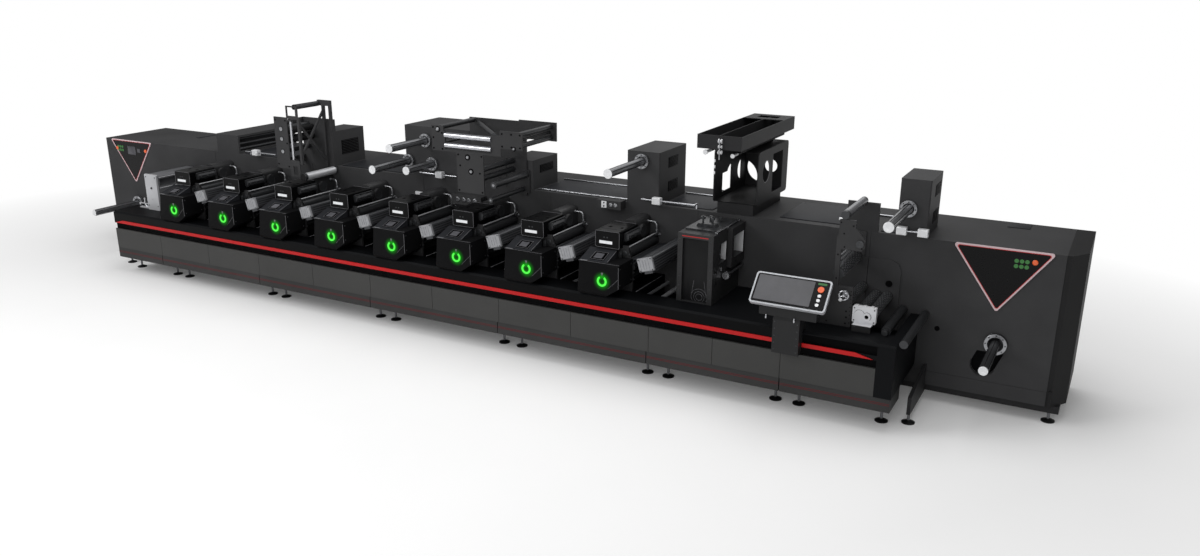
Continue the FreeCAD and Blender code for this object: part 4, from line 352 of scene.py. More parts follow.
class Piece:
    """A mesh that grows from small solids and then rides on a body, repeated at each unit if asked."""

    def __init__(self, name, material, slot=None, body=BODY, copies=1):
        self.bm = bmesh.new()
        self.name, self.material, self.slot, self.body, self.copies = name, material, slot, body, copies
        PIECES.append(self)

    def box(self, low, high, bevel=0.0, turn=None):
        """A block between two corners. turn is (centre, axis, degrees)."""
        low, high = at(low), at(high)
        matrix = Matrix.Translation((low + high) / 2) @ Matrix.Diagonal((*(high - low), 1))
        verts = bmesh.ops.create_cube(self.bm, size=1.0, matrix=matrix)["verts"]
        if bevel:
            edges = list({e for v in verts for e in v.link_edges})
            result = bmesh.ops.bevel(self.bm, geom=edges, offset=bevel, segments=2, affect="EDGES", profile=0.6)
            verts = list({v for f in result["faces"] for v in f.verts} | {v for v in verts if v.is_valid})
        if turn:
            self.turn(verts, *turn)

    def turn(self, verts, centre, axis, degrees):
        spin = Matrix.Rotation(math.radians(degrees), 3, axis)
        bmesh.ops.rotate(self.bm, verts=verts, cent=at(centre), matrix=spin)

    def rod(self, start, end, radius, segments=20):
        start, end = at(start), at(end)
        spin = (end - start).to_track_quat("Z", "Y").to_matrix().to_4x4()
        bmesh.ops.create_cone(self.bm, cap_ends=True, segments=segments, radius1=radius, radius2=radius,
                              depth=(end - start).length, matrix=Matrix.Translation((start + end) / 2) @ spin)

    def skin(self, loops):
        """Faces between neighbouring loops of points, and a cap on each end."""
        loops = [[self.bm.verts.new(point) for point in loop] for loop in loops]
        for a, b in zip(loops, loops[1:]):
            for k in range(len(a)):
                j = (k + 1) % len(a)
                self.bm.faces.new((a[k], a[j], b[j], b[k]))
        self.bm.faces.new(loops[0][::-1])
        self.bm.faces.new(loops[-1])

    def turned(self, start, axis, profile, segments=24):
        """A lathe form: profile is (distance along the axis, radius) from start."""
        start, axis = at(start), Vector(axis).normalized()
        side = axis.orthogonal().normalized()
        other = axis.cross(side)
        self.skin([[start + axis * distance + side * u + other * v for u, v in round_points(segments, radius)]
                   for distance, radius in profile])

    def plate(self, corners, push):
        """A flat outline of points in order, thickened by the vector push."""
        self.skin([[at(c) for c in corners], [at(c) + Vector(push) for c in corners]])

    def frame(self, corners, radius, width, push):
        """A flat border of one width inside a rectangle of four corners."""
        c = [at(corner) for corner in corners]
        u = (c[1] - c[0]).normalized() * width
        v = (c[3] - c[0]).normalized() * width
        inner = [c[0] + u + v, c[1] - u + v, c[2] - u - v, c[3] + u - v]
        loops = [rounded(c, radius), rounded(inner, max(radius - width, 0.0005))]
        rows = [[self.bm.verts.new(p + lift) for p in loop] for lift in (Vector(), Vector(push)) for loop in loops]
        for k in range(len(loops[0])):
            j = (k + 1) % len(loops[0])
            for a, b in ((0, 1), (1, 3), (3, 2), (2, 0)):
                self.bm.faces.new((rows[a][k], rows[a][j], rows[b][j], rows[b][k]))

    def pipe(self, points, radius, segments=14, steps=4):
        """A bent tube of one radius through the points, smoothed between them."""
        points = [at(p) for p in points]
        last = len(points) - 1
        path = []
        for k in range(last):
            p0, p1, p2, p3 = (points[max(0, min(last, k + d))] for d in (-1, 0, 1, 2))
            for s in range(steps):
                t = s / steps
                path.append(0.5 * ((2 * p1) + (p2 - p0) * t + (2 * p0 - 5 * p1 + 4 * p2 - p3) * t * t
                                   + (3 * p1 - p0 - 3 * p2 + p3) * t ** 3))
        path.append(points[-1])
        loops = []
        side = (path[1] - path[0]).orthogonal().normalized()
        for k, here in enumerate(path):
            along = (path[min(k + 1, len(path) - 1)] - path[max(k - 1, 0)]).normalized()
            side = (side - along * side.dot(along)).normalized()
            other = along.cross(side)
            loops.append([here + side * u + other * v for u, v in round_points(segments, radius)])
        self.skin(loops)

    def hoop(self, centre, radius, tube, segments=6, count=36, across=RIGHT, keep=lambda start, end: True):
        """A ring of short rods about centre, in the plane of across and Z."""
        spots = [Vector(centre) + Vector(across) * u + Vector(UP) * v for u, v in round_points(count, radius)]
        for start, end in zip(spots, spots[1:] + spots[:1]):
            if keep(start, end):
                self.rod(start, end, tube, segments)

    def screw(self, place, axis, radius=0.008, height=0.004):
        """Cap screw: a low bevelled head with a socket left in it."""
        self.turned(place, axis, [(0, radius), (height * 0.7, radius), (height, radius * 0.85),
                                  (height, radius * 0.5), (height * 0.4, radius * 0.5)], segments=12)

    def done(self):
        geometry = self.bm.verts[:] + self.bm.edges[:] + self.bm.faces[:]
        for k in range(1, self.copies):
            fresh = bmesh.ops.duplicate(self.bm, geom=geometry)["geom"]
            verts = [item for item in fresh if isinstance(item, bmesh.types.BMVert)]
            bmesh.ops.translate(self.bm, verts=verts, vec=(PITCH * k, 0, 0))
        bmesh.ops.recalc_face_normals(self.bm, faces=self.bm.faces)
        mesh = bpy.data.meshes.new(self.name)
        self.bm.to_mesh(mesh)
        self.bm.free()
        mesh.materials.append(M[self.material])
        for face in mesh.polygons:
            face.use_smooth = True
        mesh.set_sharp_from_angle(angle=math.radians(35))
        piece = added(self.name, mesh)
        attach(piece, self.body)


def added(name, data):
    holder = bpy.data.objects.new(name, data)
    bpy.context.scene.collection.objects.link(holder)
    return holder


def pieces(*rows, **options):
    """New pieces, each from a row of its name, its material and its slot if it has one."""
    return [Piece(*row.split(), **options) for row in rows]


def round_points(count, radius, first=0.0):
    """Two offsets for each of the points spread evenly on a circle, from first in degrees."""
    angles = [math.radians(first) + 2 * math.pi * k / count for k in range(count)]
    return [(radius * math.cos(a), radius * math.sin(a)) for a in angles]


def facing(x0, x1, y, z0, z1):
    """Corners of an upright rectangle that faces the front."""
    return [(x0, y, z0), (x1, y, z0), (x1, y, z1), (x0, y, z1)]


def button(r, *steps):
    """A lathe profile whose steps are (distance, share of the radius r)."""
    return [(distance, r * share) for distance, share in steps]


def rounded(corners, radius, steps=5):
    """Corners of a closed outline with each corner replaced by an arc."""
    corners = [Vector(c) for c in corners]
    out = []
    for k, here in enumerate(corners):
        a = (corners[k - 1] - here).normalized()
        b = (corners[(k + 1) % len(corners)] - here).normalized()
        half = a.angle(b) / 2
        reach = radius / math.tan(half)
        centre = here + (a + b).normalized() * (radius / math.sin(half))
        start = (here + a * reach - centre).normalized()
        end = (here + b * reach - centre).normalized()
        out += [centre + start.slerp(end, s / steps) * radius for s in range(steps + 1)]
    return out


def inset(corners, width):
    """A convex outline, moved inward by width."""
    out = []
    for k, here in enumerate(corners):
        a = (corners[k - 1] - here).normalized()
        b = (corners[(k + 1) % len(corners)] - here).normalized()
        out.append(here + (a + b).normalized() * (width / math.sin(a.angle(b) / 2)))
    return out


# Print units
def unit_details():
    """Marks, painted highlights along edges, fittings, pipes, screws and web rollers, built at the first unit."""
    (marker, trays, lip_highlight, crease_highlight, edges, seams, dots, screen, fittings, knobs, blocks, wheels, rims,
     screws, pipes, rails, rods) = pieces(
        "cover_markers edge", "unit_trays wedge cover_grey", "cover_ledges edge cover_grey",
        "cover_creases edge cover_grey", "cover_edges edge cover_grey", "head_seams recess head_black",
        "head_indicators dark_steel", "unit_displays display screen_glass", "chamber_fittings dark_steel steel",
        "bearing_caps dark_steel steel", "bearing_blocks dark_steel steel", "drive_covers frame frame_grey",
        "drive_rims dark_steel frame_grey", "cover_screws dark_steel steel", "supply_pipes steel steel",
        "deck_edges aluminium aluminium_plate", "well_rollers aluminium aluminium_plate", copies=UNITS)
    slope = math.radians(HOUSING_SLOPE)

    def on_wedge(x0, x1, y0, y1, lift):
        """Corners of a rectangle on the wedge that carries the screen."""
        z0, z1 = (COVER_TOP + math.tan(slope) * (y - 0.037) + lift for y in (y0, y1))
        return [(x0, y0, z0), (x1, y0, z0), (x1, y1, z1), (x0, y1, z1)]

    marker.plate([(-0.012, 0, 1.004), (0.012, 0, 1.004), (0, 0, 0.974)], (0, -0.001, 0))
    for x in (-0.098, -0.066):
        dots.rod((x, 0.222, 1.268), (x, 0.2205, 1.268), 0.007, 14)
    # grey field of the small display, and a painted highlight round its black frame
    screen.plate(on_wedge(-0.132, -0.050, 0.080, 0.152, 0.0068), (0, -0.0005, 0.0012))
    edges.frame(on_wedge(-0.1555, -0.0205, 0.062, 0.062 + 0.118 * math.cos(slope), 0.0064),
                0.006, 0.0028, (0, -0.0003, 0.0009))
    # painted highlights along the edges of the cover, the head's face and the wedge
    edges.box((0.1625, -0.0008, 0.872), (0.1655, 0.002, 1.071), 0.0004)
    edges.box((-0.248, 0.0145, 1.0872), (0.163, 0.0175, 1.0888), 0.0004)
    edges.frame(facing(-0.189, 0.058, 0.222, 1.172, 1.328), 0.014, 0.0032, (0, -0.0012, 0))
    edges.box((0.0275, 0.045, 1.0905), (0.0305, 0.238, 1.0935), 0.0004,
              turn=((0.029, 0.045, 1.092), "X", HOUSING_SLOPE))
    # painted highlight along the crease of the cover
    crease_highlight.plate([(0.164, 0, 0.964), (0.164, 0, 0.9612), (0.060, 0, 0.8597), (0.060, 0, 0.8625)], (0, -0.0006, 0))
    # painted highlight on the ledge at the cover's top left
    lip_highlight.box((-0.243, 0.022, COVER_TOP - 0.0005), (-0.168, 0.058, COVER_TOP + 0.0012), 0.0004)
    # lid of the head: joint lines, two recessed grips, and a painted reflection along its rear edge
    for y in (0.300, 0.470):
        seams.box((-0.176, y, 1.3298), (0.045, y + 0.003, 1.3306))
    for x in (-0.130, -0.010):
        seams.box((x, 0.360, 1.3298), (x + 0.030, 0.400, 1.3308), 0.0003)
    edges.box((-0.176, 0.585, 1.3292), (0.045, 0.5895, 1.3312), 0.0004)
    # ink chamber: end plates, drain sockets, quick clamps and the rod that holds the blade
    for y in (0.312, 0.566):
        fittings.box((0.060, y - 0.004, 1.242), (0.110, y + 0.004, 1.302), 0.002)
    for y in (0.345, 0.440, 0.535):
        fittings.turned((0.106, y, 1.262), (1, 0, 0.1),
                        [(0, 0.006), (0.003, 0.009), (0.009, 0.009), (0.011, 0.006)], 16)
    for y in (0.330, 0.395, 0.500, 0.560):
        fittings.box((0.074, y - 0.006, 1.294), (0.090, y + 0.006, 1.308), 0.0015)
    fittings.rod((0.082, 0.300, 1.306), (0.082, 0.580, 1.306), 0.0065, 12)
    # drive cover on the right of the rear housing
    wheels.turned((0.040, 0.700, 1.243), RIGHT, [(0, 0.062), (0.026, 0.062), (0.030, 0.057), (0.030, 0.030),
                                                 (0.024, 0.026), (0.024, 0.010)], 32)
    rims.turned((0.070, 0.700, 1.243), RIGHT, [(0, 0.0585), (0.0012, 0.0585), (0.0012, 0.050), (0.0002, 0.049)], 32)
    for u, v in round_points(6, 0.042):
        screws.screw((0.070, 0.700 + u, 1.243 + v), RIGHT, 0.005, 0.003)
    # bent pipe that returns into the wall, with its unions
    bends = [(0.040, 0.846, 1.300), (0.100, 0.846, 1.300), (0.128, 0.846, 1.285), (0.136, 0.846, 1.250),
             (0.136, 0.850, 1.190), (0.138, 0.872, 1.168), (0.140, 0.910, 1.166)]
    pipes.pipe(bends, 0.0095)
    for start, axis in ((bends[0], RIGHT), ((0.140, 0.896, 1.166), BACK), ((0.136, 0.846, 1.212), UP)):
        pipes.turned(start, axis, [(0, 0.0130), (0.002, 0.0145), (0.012, 0.0145), (0.014, 0.0130)], 18)
    # bearing caps, knobs and screws beside the cover, and a block on its top
    for x, z, r in ((0.082, 1.128, 0.028), (0.128, 1.112, 0.012)):
        knobs.turned((x, 0.280, z), FRONT,
                     button(r, (0, 1), (0.006, 1), (0.008, 0.85), (0.008, 0.5), (0.005, 0.45), (0.005, 0.2)))
    for z in (1.010, 0.955, 0.890):
        knobs.turned((0.165, 0.291, z), RIGHT, [(0, 0.009), (0.006, 0.009), (0.008, 0.006), (0.016, 0.006),
                                                (0.018, 0.004)], 14)
    for y in (0.030, 0.250):
        for z in (0.900, 1.050):
            screws.screw((0.165, y, z), RIGHT, 0.007, 0.0035)
    blocks.box((0.037, 0.246, 1.088), (0.067, 0.280, 1.137), 0.003)
    blocks.rod((0.052, 0.263, 1.137), (0.052, 0.263, 1.146), 0.008, 16)
    # tray between the bearing plate and the wall, level with the top of the cover
    trays.box((0.165, 0.282, COVER_TOP - 0.010), (0.330, 0.910, COVER_TOP - 0.002), 0.002)
    trays.box((0.165, 0.282, COVER_TOP - 0.030), (0.173, 0.910, COVER_TOP - 0.004), 0.002)
    # light edge of the opening in the deck, and the web rollers down inside it
    rails.box((0.199, 0.286, DECK), (0.205, 0.845, DECK + 0.006), 0.001)
    rods.rod((0.120, 0.291, 1.188), (0.120, 0.909, 1.188), 0.006, 12)
    for x, z, r in ((0.240, 0.700, 0.016), (0.430, 0.730, 0.022), (0.345, 0.655, 0.018)):
        rods.rod((x, 0.285, z), (x, 0.909, z), r)
        rods.turned((x, 0.285, z), BACK, button(r, (0, 1.3), (0.010, 1.3), (0.012, 1)), 18)


def cassette_details():
    """Strips, side slats, screws and recesses of the curing cassette at the first unit."""
    strips, slats, screws, recesses = pieces(
        "cassette_strips dark_steel aluminium_plate", "cassette_slats recess", "cassette_screws dark_steel steel",
        "cassette_recesses cassette", copies=UNITS)
    centre = Vector((0.400, 0, 1.120))
    x, z = centre.x, centre.z
    half_w, top, face = 0.070, z + 0.059, 0.0574
    turn = (centre, "Y", -CASSETTE_TILT)
    for side in (x - half_w, x + half_w):
        for k in range(4):
            low = z + 0.026 - k * 0.022
            slats.box((side - 0.001, 0.110, low), (side + 0.001, 0.890, low + 0.004), turn=turn)
    for u in (-0.055, -0.018, 0.013, 0.050):
        strips.box((x + u, 0.090, top - 0.001), (x + u + 0.005, 0.900, top + 0.0012), 0.0004, turn)
    for u in (-0.060, 0.060):
        for v in (-0.050, 0.050):
            spin = Matrix.Rotation(math.radians(-CASSETTE_TILT), 3, "Y")
            screws.screw(centre + spin @ Vector((u, 0.058, v)), FRONT, 0.006, 0.003)
    for u in (-0.050, 0.032):
        recesses.box((x + u, face, 1.064), (x + u + 0.0022, face + 0.0008, 1.176), 0.0002, turn)
    recesses.box((x - 0.072, face, 1.0595), (x + 0.072, face + 0.0008, 1.064), 0.0002, turn)


def station_details():
    """Screws, a roller's end cap, guides and the feed arms of the first station."""
    screws, caps, guides = pieces("station_screws dark_steel steel", "station_caps dark_steel steel",
                                  "station_guides aluminium aluminium_plate")
    low, high = local_box("station_plate")
    mid = (low.x + high.x) / 2
    for x in (mid - 0.080, mid + 0.080):
        for z in (0.830, 1.180):
            screws.screw((x, low.y, z), FRONT, 0.007, 0.004)
    caps.turned((mid, low.y + 0.0055, 1.047), FRONT, [(0, 0.015), (0.004, 0.015), (0.008, 0.010), (0.014, 0.010)], 20)
    for z in (1.050, 1.176):
        guides.rod((high.x - 0.006, 0.345, z), (high.x - 0.006, 0.640, z), 0.006, 12)
    guides.pipe([(low.x - 0.020, 0.330, 0.790), (low.x - 0.060, 0.330, 0.800), (low.x - 0.090, 0.330, 0.832),
                 (low.x - 0.090, 0.332, 0.900)], 0.009)
    guides.box((low.x - 0.178, 0.316, 0.775), (low.x, 0.350, 0.793), 0.003)
    for y in (0.420, 0.560, 0.700):
        guides.rod((low.x - 0.300, y, 0.800), (low.x - 0.010, y, 0.800), 0.008, 12)
        guides.box((low.x - 0.300, y - 0.012, 0.775), (low.x - 0.284, y + 0.012, 0.812), 0.002)


# Bed
def bed_details():
    band, painted_shadow, inlets, lines, ends = pieces(
        "band_face band bed_grey", "bed_recesses recess bed_grey", "bed_inlets deck bed_grey",
        "rail_lines red_dark stripe_red", "deck_end_bar bright aluminium_plate")
    low, high = local_box("print_bed")
    stripe_top = local_box("bed_stripe")[1].z
    panels_low, panels_high = local_box("bed_panels")
    back = low.y + 0.0245
    thin = (0, -0.0008, 0)
    band.plate(facing(low.x + 0.004, BRACKET_X - BRACKET_HALF - 0.002, low.y, stripe_top, DECK - 0.020), thin)
    # black plates that paint the shade in the recesses of the bed's front
    painted_shadow.plate(facing(low.x + 0.010, panels_high.x - 0.004, back, panels_high.z - 0.004, 0.631), thin)
    painted_shadow.plate(facing(BRACKET_X + BRACKET_HALF + 0.012, panels_high.x - 0.002, 0.0542, stripe_top, DECK - 0.028),
                 thin)
    # frames of the slots in the recess under the stripe
    for k in range(2 * UNITS + 2):
        x = panels_low.x + 0.240 + k * PITCH / 2
        if x + 0.160 < panels_high.x:
            inlets.frame(facing(x, x + 0.300, back - 0.0008, 0.575, 0.618), 0.006, 0.004, (0, -0.003, 0))
    # two dull red lines along the base rails
    rail_low, rail_high = local_box("base_rails")
    joints = [rail_low.x] + [-0.370 + k * 2 * PITCH for k in range(UNITS // 2 + 1)] + [7.270, rail_high.x]
    for x0, x1 in zip(joints, joints[1:]):
        for z in (0.2735, 0.2605):
            lines.box((x0 + 0.005, rail_low.y - 0.0006, z), (x1 - 0.005, rail_low.y + 0.001, z + 0.0045))
    # upright bar on the wall behind the end of the deck
    ends.box((high.x - 0.060, 0.888, 0.415), (high.x - 0.040, 0.910, 0.560), 0.004)
    for z in (0.430, 0.545):
        ends.turned((high.x - 0.050, 0.888, z), FRONT, [(0, 0.009), (0.010, 0.009), (0.012, 0.006)], 16)


# Boxes on the wall
def box_details():
    trays, seals, hatches, screws, vents, slats = pieces(
        "wall_hatches hatch painted_dark", "hatch_seals recess painted_black",
        "housing_hatches hatch painted_dark", "hatch_screws dark_steel steel", "box_vents recess",
        "vent_slats housing_dark painted_dark")
    middle_right = 6 * PITCH + 0.580 + 0.342
    last_right = local_box("wall_boxes")[1].x
    # dark vents on right-hand sides, with their slats: place, extent and number
    for x, y0, y1, z0, z1, count in (
            (middle_right, 1.110, 1.330, 1.771, 1.871, 8), (middle_right, 1.110, 1.330, 1.541, 1.641, 8),
            (last_right, 1.110, 1.330, 1.757, 1.857, 8), (last_right, 1.110, 1.330, 1.527, 1.627, 8),
            (local_box("tower_frame")[1].x, 1.020, 1.300, 1.560, 1.720, 9),
            (5 * PITCH + 0.322, 1.040, 1.300, 1.600, 1.680, 6)):
        vents.box((x - 0.002, y0, z0), (x + 0.0015, y1, z1), 0.0005)
        pitch = (z1 - z0) / count
        for k in range(count):
            z = z0 + (k + 0.5) * pitch
            slats.box((x, y0 + 0.010, z - pitch * 0.18), (x + 0.004, y1 - 0.010, z + pitch * 0.18), 0.001,
                      ((x, y0, z), "Y", 18))
    top = WALL_TOP
    for x0, x1, y0, y1 in ((0.20, 1.18, 0.96, 1.78), (1.74, 2.66, 0.96, 1.76), (4.36, 5.34, 1.00, 1.49),
                           (5.76, 6.24, 0.98, 1.49), (6.88, 7.48, 1.02, 1.70), (7.80, 7.92, 0.96, 1.30)):
        seals.box((x0 - 0.006, y0 - 0.006, top), (x1 + 0.006, y1 + 0.006, top + 0.0012))
        trays.box((x0, y0, top), (x1, y1, top + 0.006), 0.002)
        for x in (x0 + 0.030, x1 - 0.030):
            for y in (y0 + 0.030, y1 - 0.030):
                screws.screw((x, y, top + 0.006), UP, 0.006, 0.003)
    for x0, x1, y0, y1 in ((8.723, 8.907, 1.640, 1.820), (-1.270, -1.205, 1.480, 1.840)):
        hatches.box((x0, y0, top), (x1, y1, top + 0.005), 0.002)


def fascia_details():
    """Sockets and knobs on the two flat boxes at the wall's edge, round plugs, and a sensor."""
    plate, holes, sockets, plugs, sensor = pieces(
        "sensor_plate bright aluminium_plate", "sensor_plate_holes recess", "box_sockets steel steel",
        "wall_plugs recess painted_black", "wall_sensor bright aluminium_plate")
    face = 0.805
    plate.plate(rounded(facing(5.160, 5.216, face, 1.386, 1.452), 0.005), (0, -0.003, 0))
    # dark discs paint the shade in the plate's two holes
    for z in (1.403, 1.435):
        holes.turned((5.188, face - 0.003, z), FRONT, [(0, 0.0075), (0.001, 0.0075), (0.001, 0.004)], 18)
    for x in (5.262, 5.312):
        sockets.turned((x, face, 1.419), FRONT, [(0, 0.020), (0.004, 0.020), (0.006, 0.017), (0.006, 0.011),
                                                 (0.002, 0.010), (0.002, 0.003)])
    for x in (3.445, 3.522, 3.586, 3.662):
        sockets.turned((x, 0.810, 1.275), FRONT, [(0, 0.024), (0.005, 0.024), (0.007, 0.020), (0.007, 0.013),
                                                  (0.002, 0.012), (0.002, 0.004)])
    for x, y, z, r in ((7.919, 0.892, 1.011, 0.030), (8.184, 0.910, 0.672, 0.022), (8.350, 0.910, 0.674, 0.022)):
        plugs.turned((x, y, z), FRONT, button(r, (0, 1), (0.001, 1), (0.0018, 0.9), (0.0018, 0.3)))
    sensor.box((2.821, 0.884, 1.211), (2.912, 0.910, 1.278), 0.005)
    sensor.rod((2.912, 0.896, 1.245), (3.010, 0.896, 1.245), 0.006, 12)
    sensor.box((3.004, 0.888, 1.237), (3.016, 0.910, 1.253), 0.002)


# Tower and centre plates
def tower_details():
    sleeves, caps, screws, hole_shades, knobs = pieces(
        "web_sleeves aluminium aluminium_plate", "roller_caps rubber", "frame_screws recess steel",
        "frame_washers recess painted_black", "frame_knobs steel steel")
    low, high = local_box("tower_frame")
    left, brace, face = low.x, high.x - 0.130, CENTRE_FRONT
    column = left + 0.096      # row of knobs on the tower
    sleeves.rod((brace + 0.112, 0.440, 1.401), (brace + 0.112, 0.880, 1.401), 0.0424, 32)
    caps.turned((brace - 0.045, 0.504, 2.142), BACK, [(0, 0.020), (0.004, 0.029), (0.020, 0.029), (0.022, 0.026)])
    caps.turned((brace + 0.112, 0.3995, 1.401), BACK, [(0, 0.030), (0.0004, 0.041), (0.020, 0.0425),
                                                       (0.022, 0.041)], 28)
    for z in (1.868, 1.766):
        caps.rod((left + 0.160, 0.500, z), (left + 0.160, 0.905, z), 0.034, 24)
    for x, z in ((0.020, 1.990), (0.170, 1.990), (0.020, 1.500), (0.172, 1.480), (0.172, 1.740)):
        screws.screw((left + x, 0.490, z), FRONT, 0.009)
    for z, r in ((1.894, 0.024), (1.784, 0.022), (1.644, 0.022)):
        knobs.turned((column, 0.490, z), FRONT, button(r, (0, 1), (0.003, 1), (0.004, 0.8), (0.004, 0.4)), 22)
    # centre plates: cap screws, dark discs that paint the shade of the round holes, knobs in those holes, and bearing
    # ends
    for x, z in ((3.560, 2.110), (3.560, 1.905), (3.665, 1.905), (3.665, 2.060), (3.560, 2.010),
                 (4.365, 2.105), (4.470, 2.105), (4.565, 2.105), (4.365, 1.985), (4.470, 1.985), (4.565, 1.985),
                 (3.850, 1.865), (4.123, 1.865), (3.850, 1.515), (4.123, 1.515), (3.870, 1.760), (4.100, 1.700)):
        screws.screw((x, face, z), FRONT, 0.009)
    for x, y, z, r in ((column, 0.490, 1.894, 0.030), (column, 0.490, 1.784, 0.028), (column, 0.490, 1.644, 0.028),
                       (3.961, face, 1.846, 0.030), (3.996, face, 1.7095, 0.030), (3.617, face, 2.093, 0.028),
                       (4.4985, face, 1.972, 0.022)):
        hole_shades.turned((x, y, z), FRONT, button(r, (0, 1), (0.0015, 1), (0.002, 0.92), (0.002, 0.5)), 26)
    for x, z in ((3.961, 1.846), (3.996, 1.7095)):
        knobs.turned((x, 0.312, z), FRONT, button(0.017, (0, 1), (0.014, 1), (0.020, 0.8), (0.020, 0.4)), 22)
    for x, z, r in ((3.617, 2.093, 0.019), (4.4985, 1.972, 0.014)):
        knobs.turned((x, face, z), FRONT, button(r, (0, 1), (0.006, 1), (0.016, 0.7), (0.018, 0.5)), 22)
    for x, z, r in ((4.250, 1.600, 0.030), (4.213, 1.449, 0.022)):
        caps.turned((x, 0.304, z), BACK, button(r, (0, 0.5), (0.0005, 1), (0.012, 1.04), (0.014, 1)), 26)
        knobs.turned((x, 0.304, z), FRONT, button(r, (0, 0.45), (0.002, 0.45), (0.003, 0.3)), 18)


# Triangular panels
def end_panel_details():
    rim, red, glass, pads, buttons, display = pieces(
        "panel_rims white_edge panel_white", "panel_red_edge red_light panel_white",
        "panel_faces panel_black screen_glass", "panel_pads green_light", "panel_buttons orange",
        "panel_display display")
    y = local_box("end_panels")[0].y
    face = y - 0.0035
    wall_low, wall_high = local_box("machine_wall")
    # left side, middle of the pads, and the buttons as (place, drop) on each panel
    left, right = wall_low.x - TRI_WIDTH / 2 - 0.628, wall_high.x + 0.209
    for x0, pad, spots in ((left, -0.215, ((0.085, 0.100), (TRI_WIDTH - 0.095, 0.100))),
                           (right, 0.145, ((TRI_WIDTH - 0.120, 0.072),))):
        x1, mid = x0 + TRI_WIDTH, x0 + TRI_WIDTH / 2
        corners = [Vector(c) for c in ((x0 - TRI_RIM, y, TRI_TOP + TRI_RIM / 2), (mid, y, TRI_TOP - TRI_HEIGHT - 0.009),
                                       (x1 + TRI_RIM, y, TRI_TOP + TRI_RIM / 2))]
        for piece, width, radius, back, thick in ((rim, 0, 0.017, 0.010, 0.0115), (red, 0.013, 0.014, -0.0015, 0.001),
                                                  (glass, 0.0175, 0.012, -0.0025, 0.001)):
            outline = rounded(inset(corners, width), radius)
            piece.plate([p + Vector((0, back, 0)) for p in outline], (0, -thick, 0))
        for column in (-0.040, 0, 0.040):
            for row in (-0.022, 0.022):
                pads.turned((mid + pad + column, face, TRI_TOP - 0.098 + row), FRONT,
                            [(0, 0.017), (0.002, 0.017), (0.003, 0.013), (0.002, 0.009)], 20)
        for x, drop in spots:
            buttons.turned((x0 + x, face, TRI_TOP - drop), FRONT,
                           [(0, 0.022), (0.006, 0.022), (0.010, 0.017), (0.010, 0.006)], 22)
    mid = left + TRI_WIDTH / 2
    display.box((mid - 0.075, face - 0.003, TRI_TOP - 0.165), (mid + 0.075, face, TRI_TOP - 0.058), 0.002)
    display.box((mid + 0.110, face - 0.004, TRI_TOP - 0.130), (mid + 0.165, face, TRI_TOP - 0.080), 0.003)


def rewinder_details():
    """Black bottom and lip of the slanted opening below the rewind shaft."""
    dark, lip = pieces("slot_bottom recess painted_black", "slot_lip housing_dark painted_dark")
    low, high = local_box("rewind_shaft")
    x, z = (low.x + high.x) / 2, (low.z + high.z) / 2
    shift, drop, radius, cover = -0.081, -0.206, 0.098, 0.085
    run = math.hypot(shift, drop)
    nx, nz = -drop / run, shift / run

    def outline(r, y):
        """The part of the slanted slot below the sliding cover."""
        right, left = ((x + shift * (-cover - side * nz * r) / drop + side * nx * r, y, z - cover) for side in (1, -1))
        start = math.atan2(nz, nx)
        arc = [start - math.pi * k / 16 for k in range(17)]
        return [Vector(p) for p in (right, *((x + shift + r * math.cos(a), y, z + drop + r * math.sin(a)) for a in arc),
                                    left)]

    dark.plate(outline(radius - 0.001, WALL_Y + 0.0398), (0, -0.001, 0))
    outer, inner = outline(radius + 0.006, WALL_Y - 0.0008), outline(radius + 0.0005, WALL_Y - 0.0008)
    for k in range(1, len(outer) - 2):
        lip.plate([outer[k], outer[k + 1], inner[k + 1], inner[k]], (0, 0.0014, 0))


# Console
def console_details():
    glass, display, keys, stop, light, clamps, brackets = pieces(
        "console_glass panel_black screen_glass", "console_display console_display screen_glass",
        "console_keys white", "console_stop orange", "console_light green_light", "bracket_pins chrome steel",
        "bracket_screws dark_steel steel")
    low, high = local_box("console_body")

    def on_slab(piece, u0, u1, v0, v1, lift, radius, thick):
        """A rounded plate on the slab: u across from its left end, v up the slope."""
        z = SLAB_LOW_Z + lift
        corners = [(low.x + u, low.y + v, z) for u, v in ((u0, v0), (u1, v0), (u1, v1), (u0, v1))]
        before = set(piece.bm.verts)
        piece.plate(rounded(corners, radius), (0, 0, thick))
        fresh = [v for v in piece.bm.verts if v not in before]
        piece.turn(fresh, (0, low.y, SLAB_LOW_Z), "X", SLAB_TILT)

    wide, deep = high.x - low.x, 0.290
    key = wide - 0.075
    on_slab(glass, 0.014, wide - 0.014, 0.014, deep - 0.014, 0, 0.016, 0.0012)
    on_slab(display, 0.030, wide - 0.135, 0.034, deep - 0.026, 0.0012, 0.004, 0.0008)
    on_slab(light, key - 0.036, key + 0.036, deep - 0.048, deep - 0.030, 0.0012, 0.004, 0.0015)
    for v in (0.046, 0.088, 0.130):
        on_slab(keys, key - 0.014, key + 0.014, v, v + 0.026, 0.0012, 0.010, 0.004)
    on_slab(stop, key - 0.026, key + 0.026, 0.172, 0.224, 0.0012, 0.024, 0.009)
    for x in (7.156, 7.393):
        clamps.turned((x, -0.058, 0.864), UP, [(0, 0.005), (0.004, 0.007), (0.020, 0.007), (0.024, 0.005),
                                               (0.036, 0.005)], 16)
    for z in (0.850, 0.790, 0.730, 0.670, 0.610):
        for x in (BRACKET_X - 0.095, BRACKET_X + 0.095):
            brackets.screw((x, -0.060, z), FRONT, 0.006, 0.003)


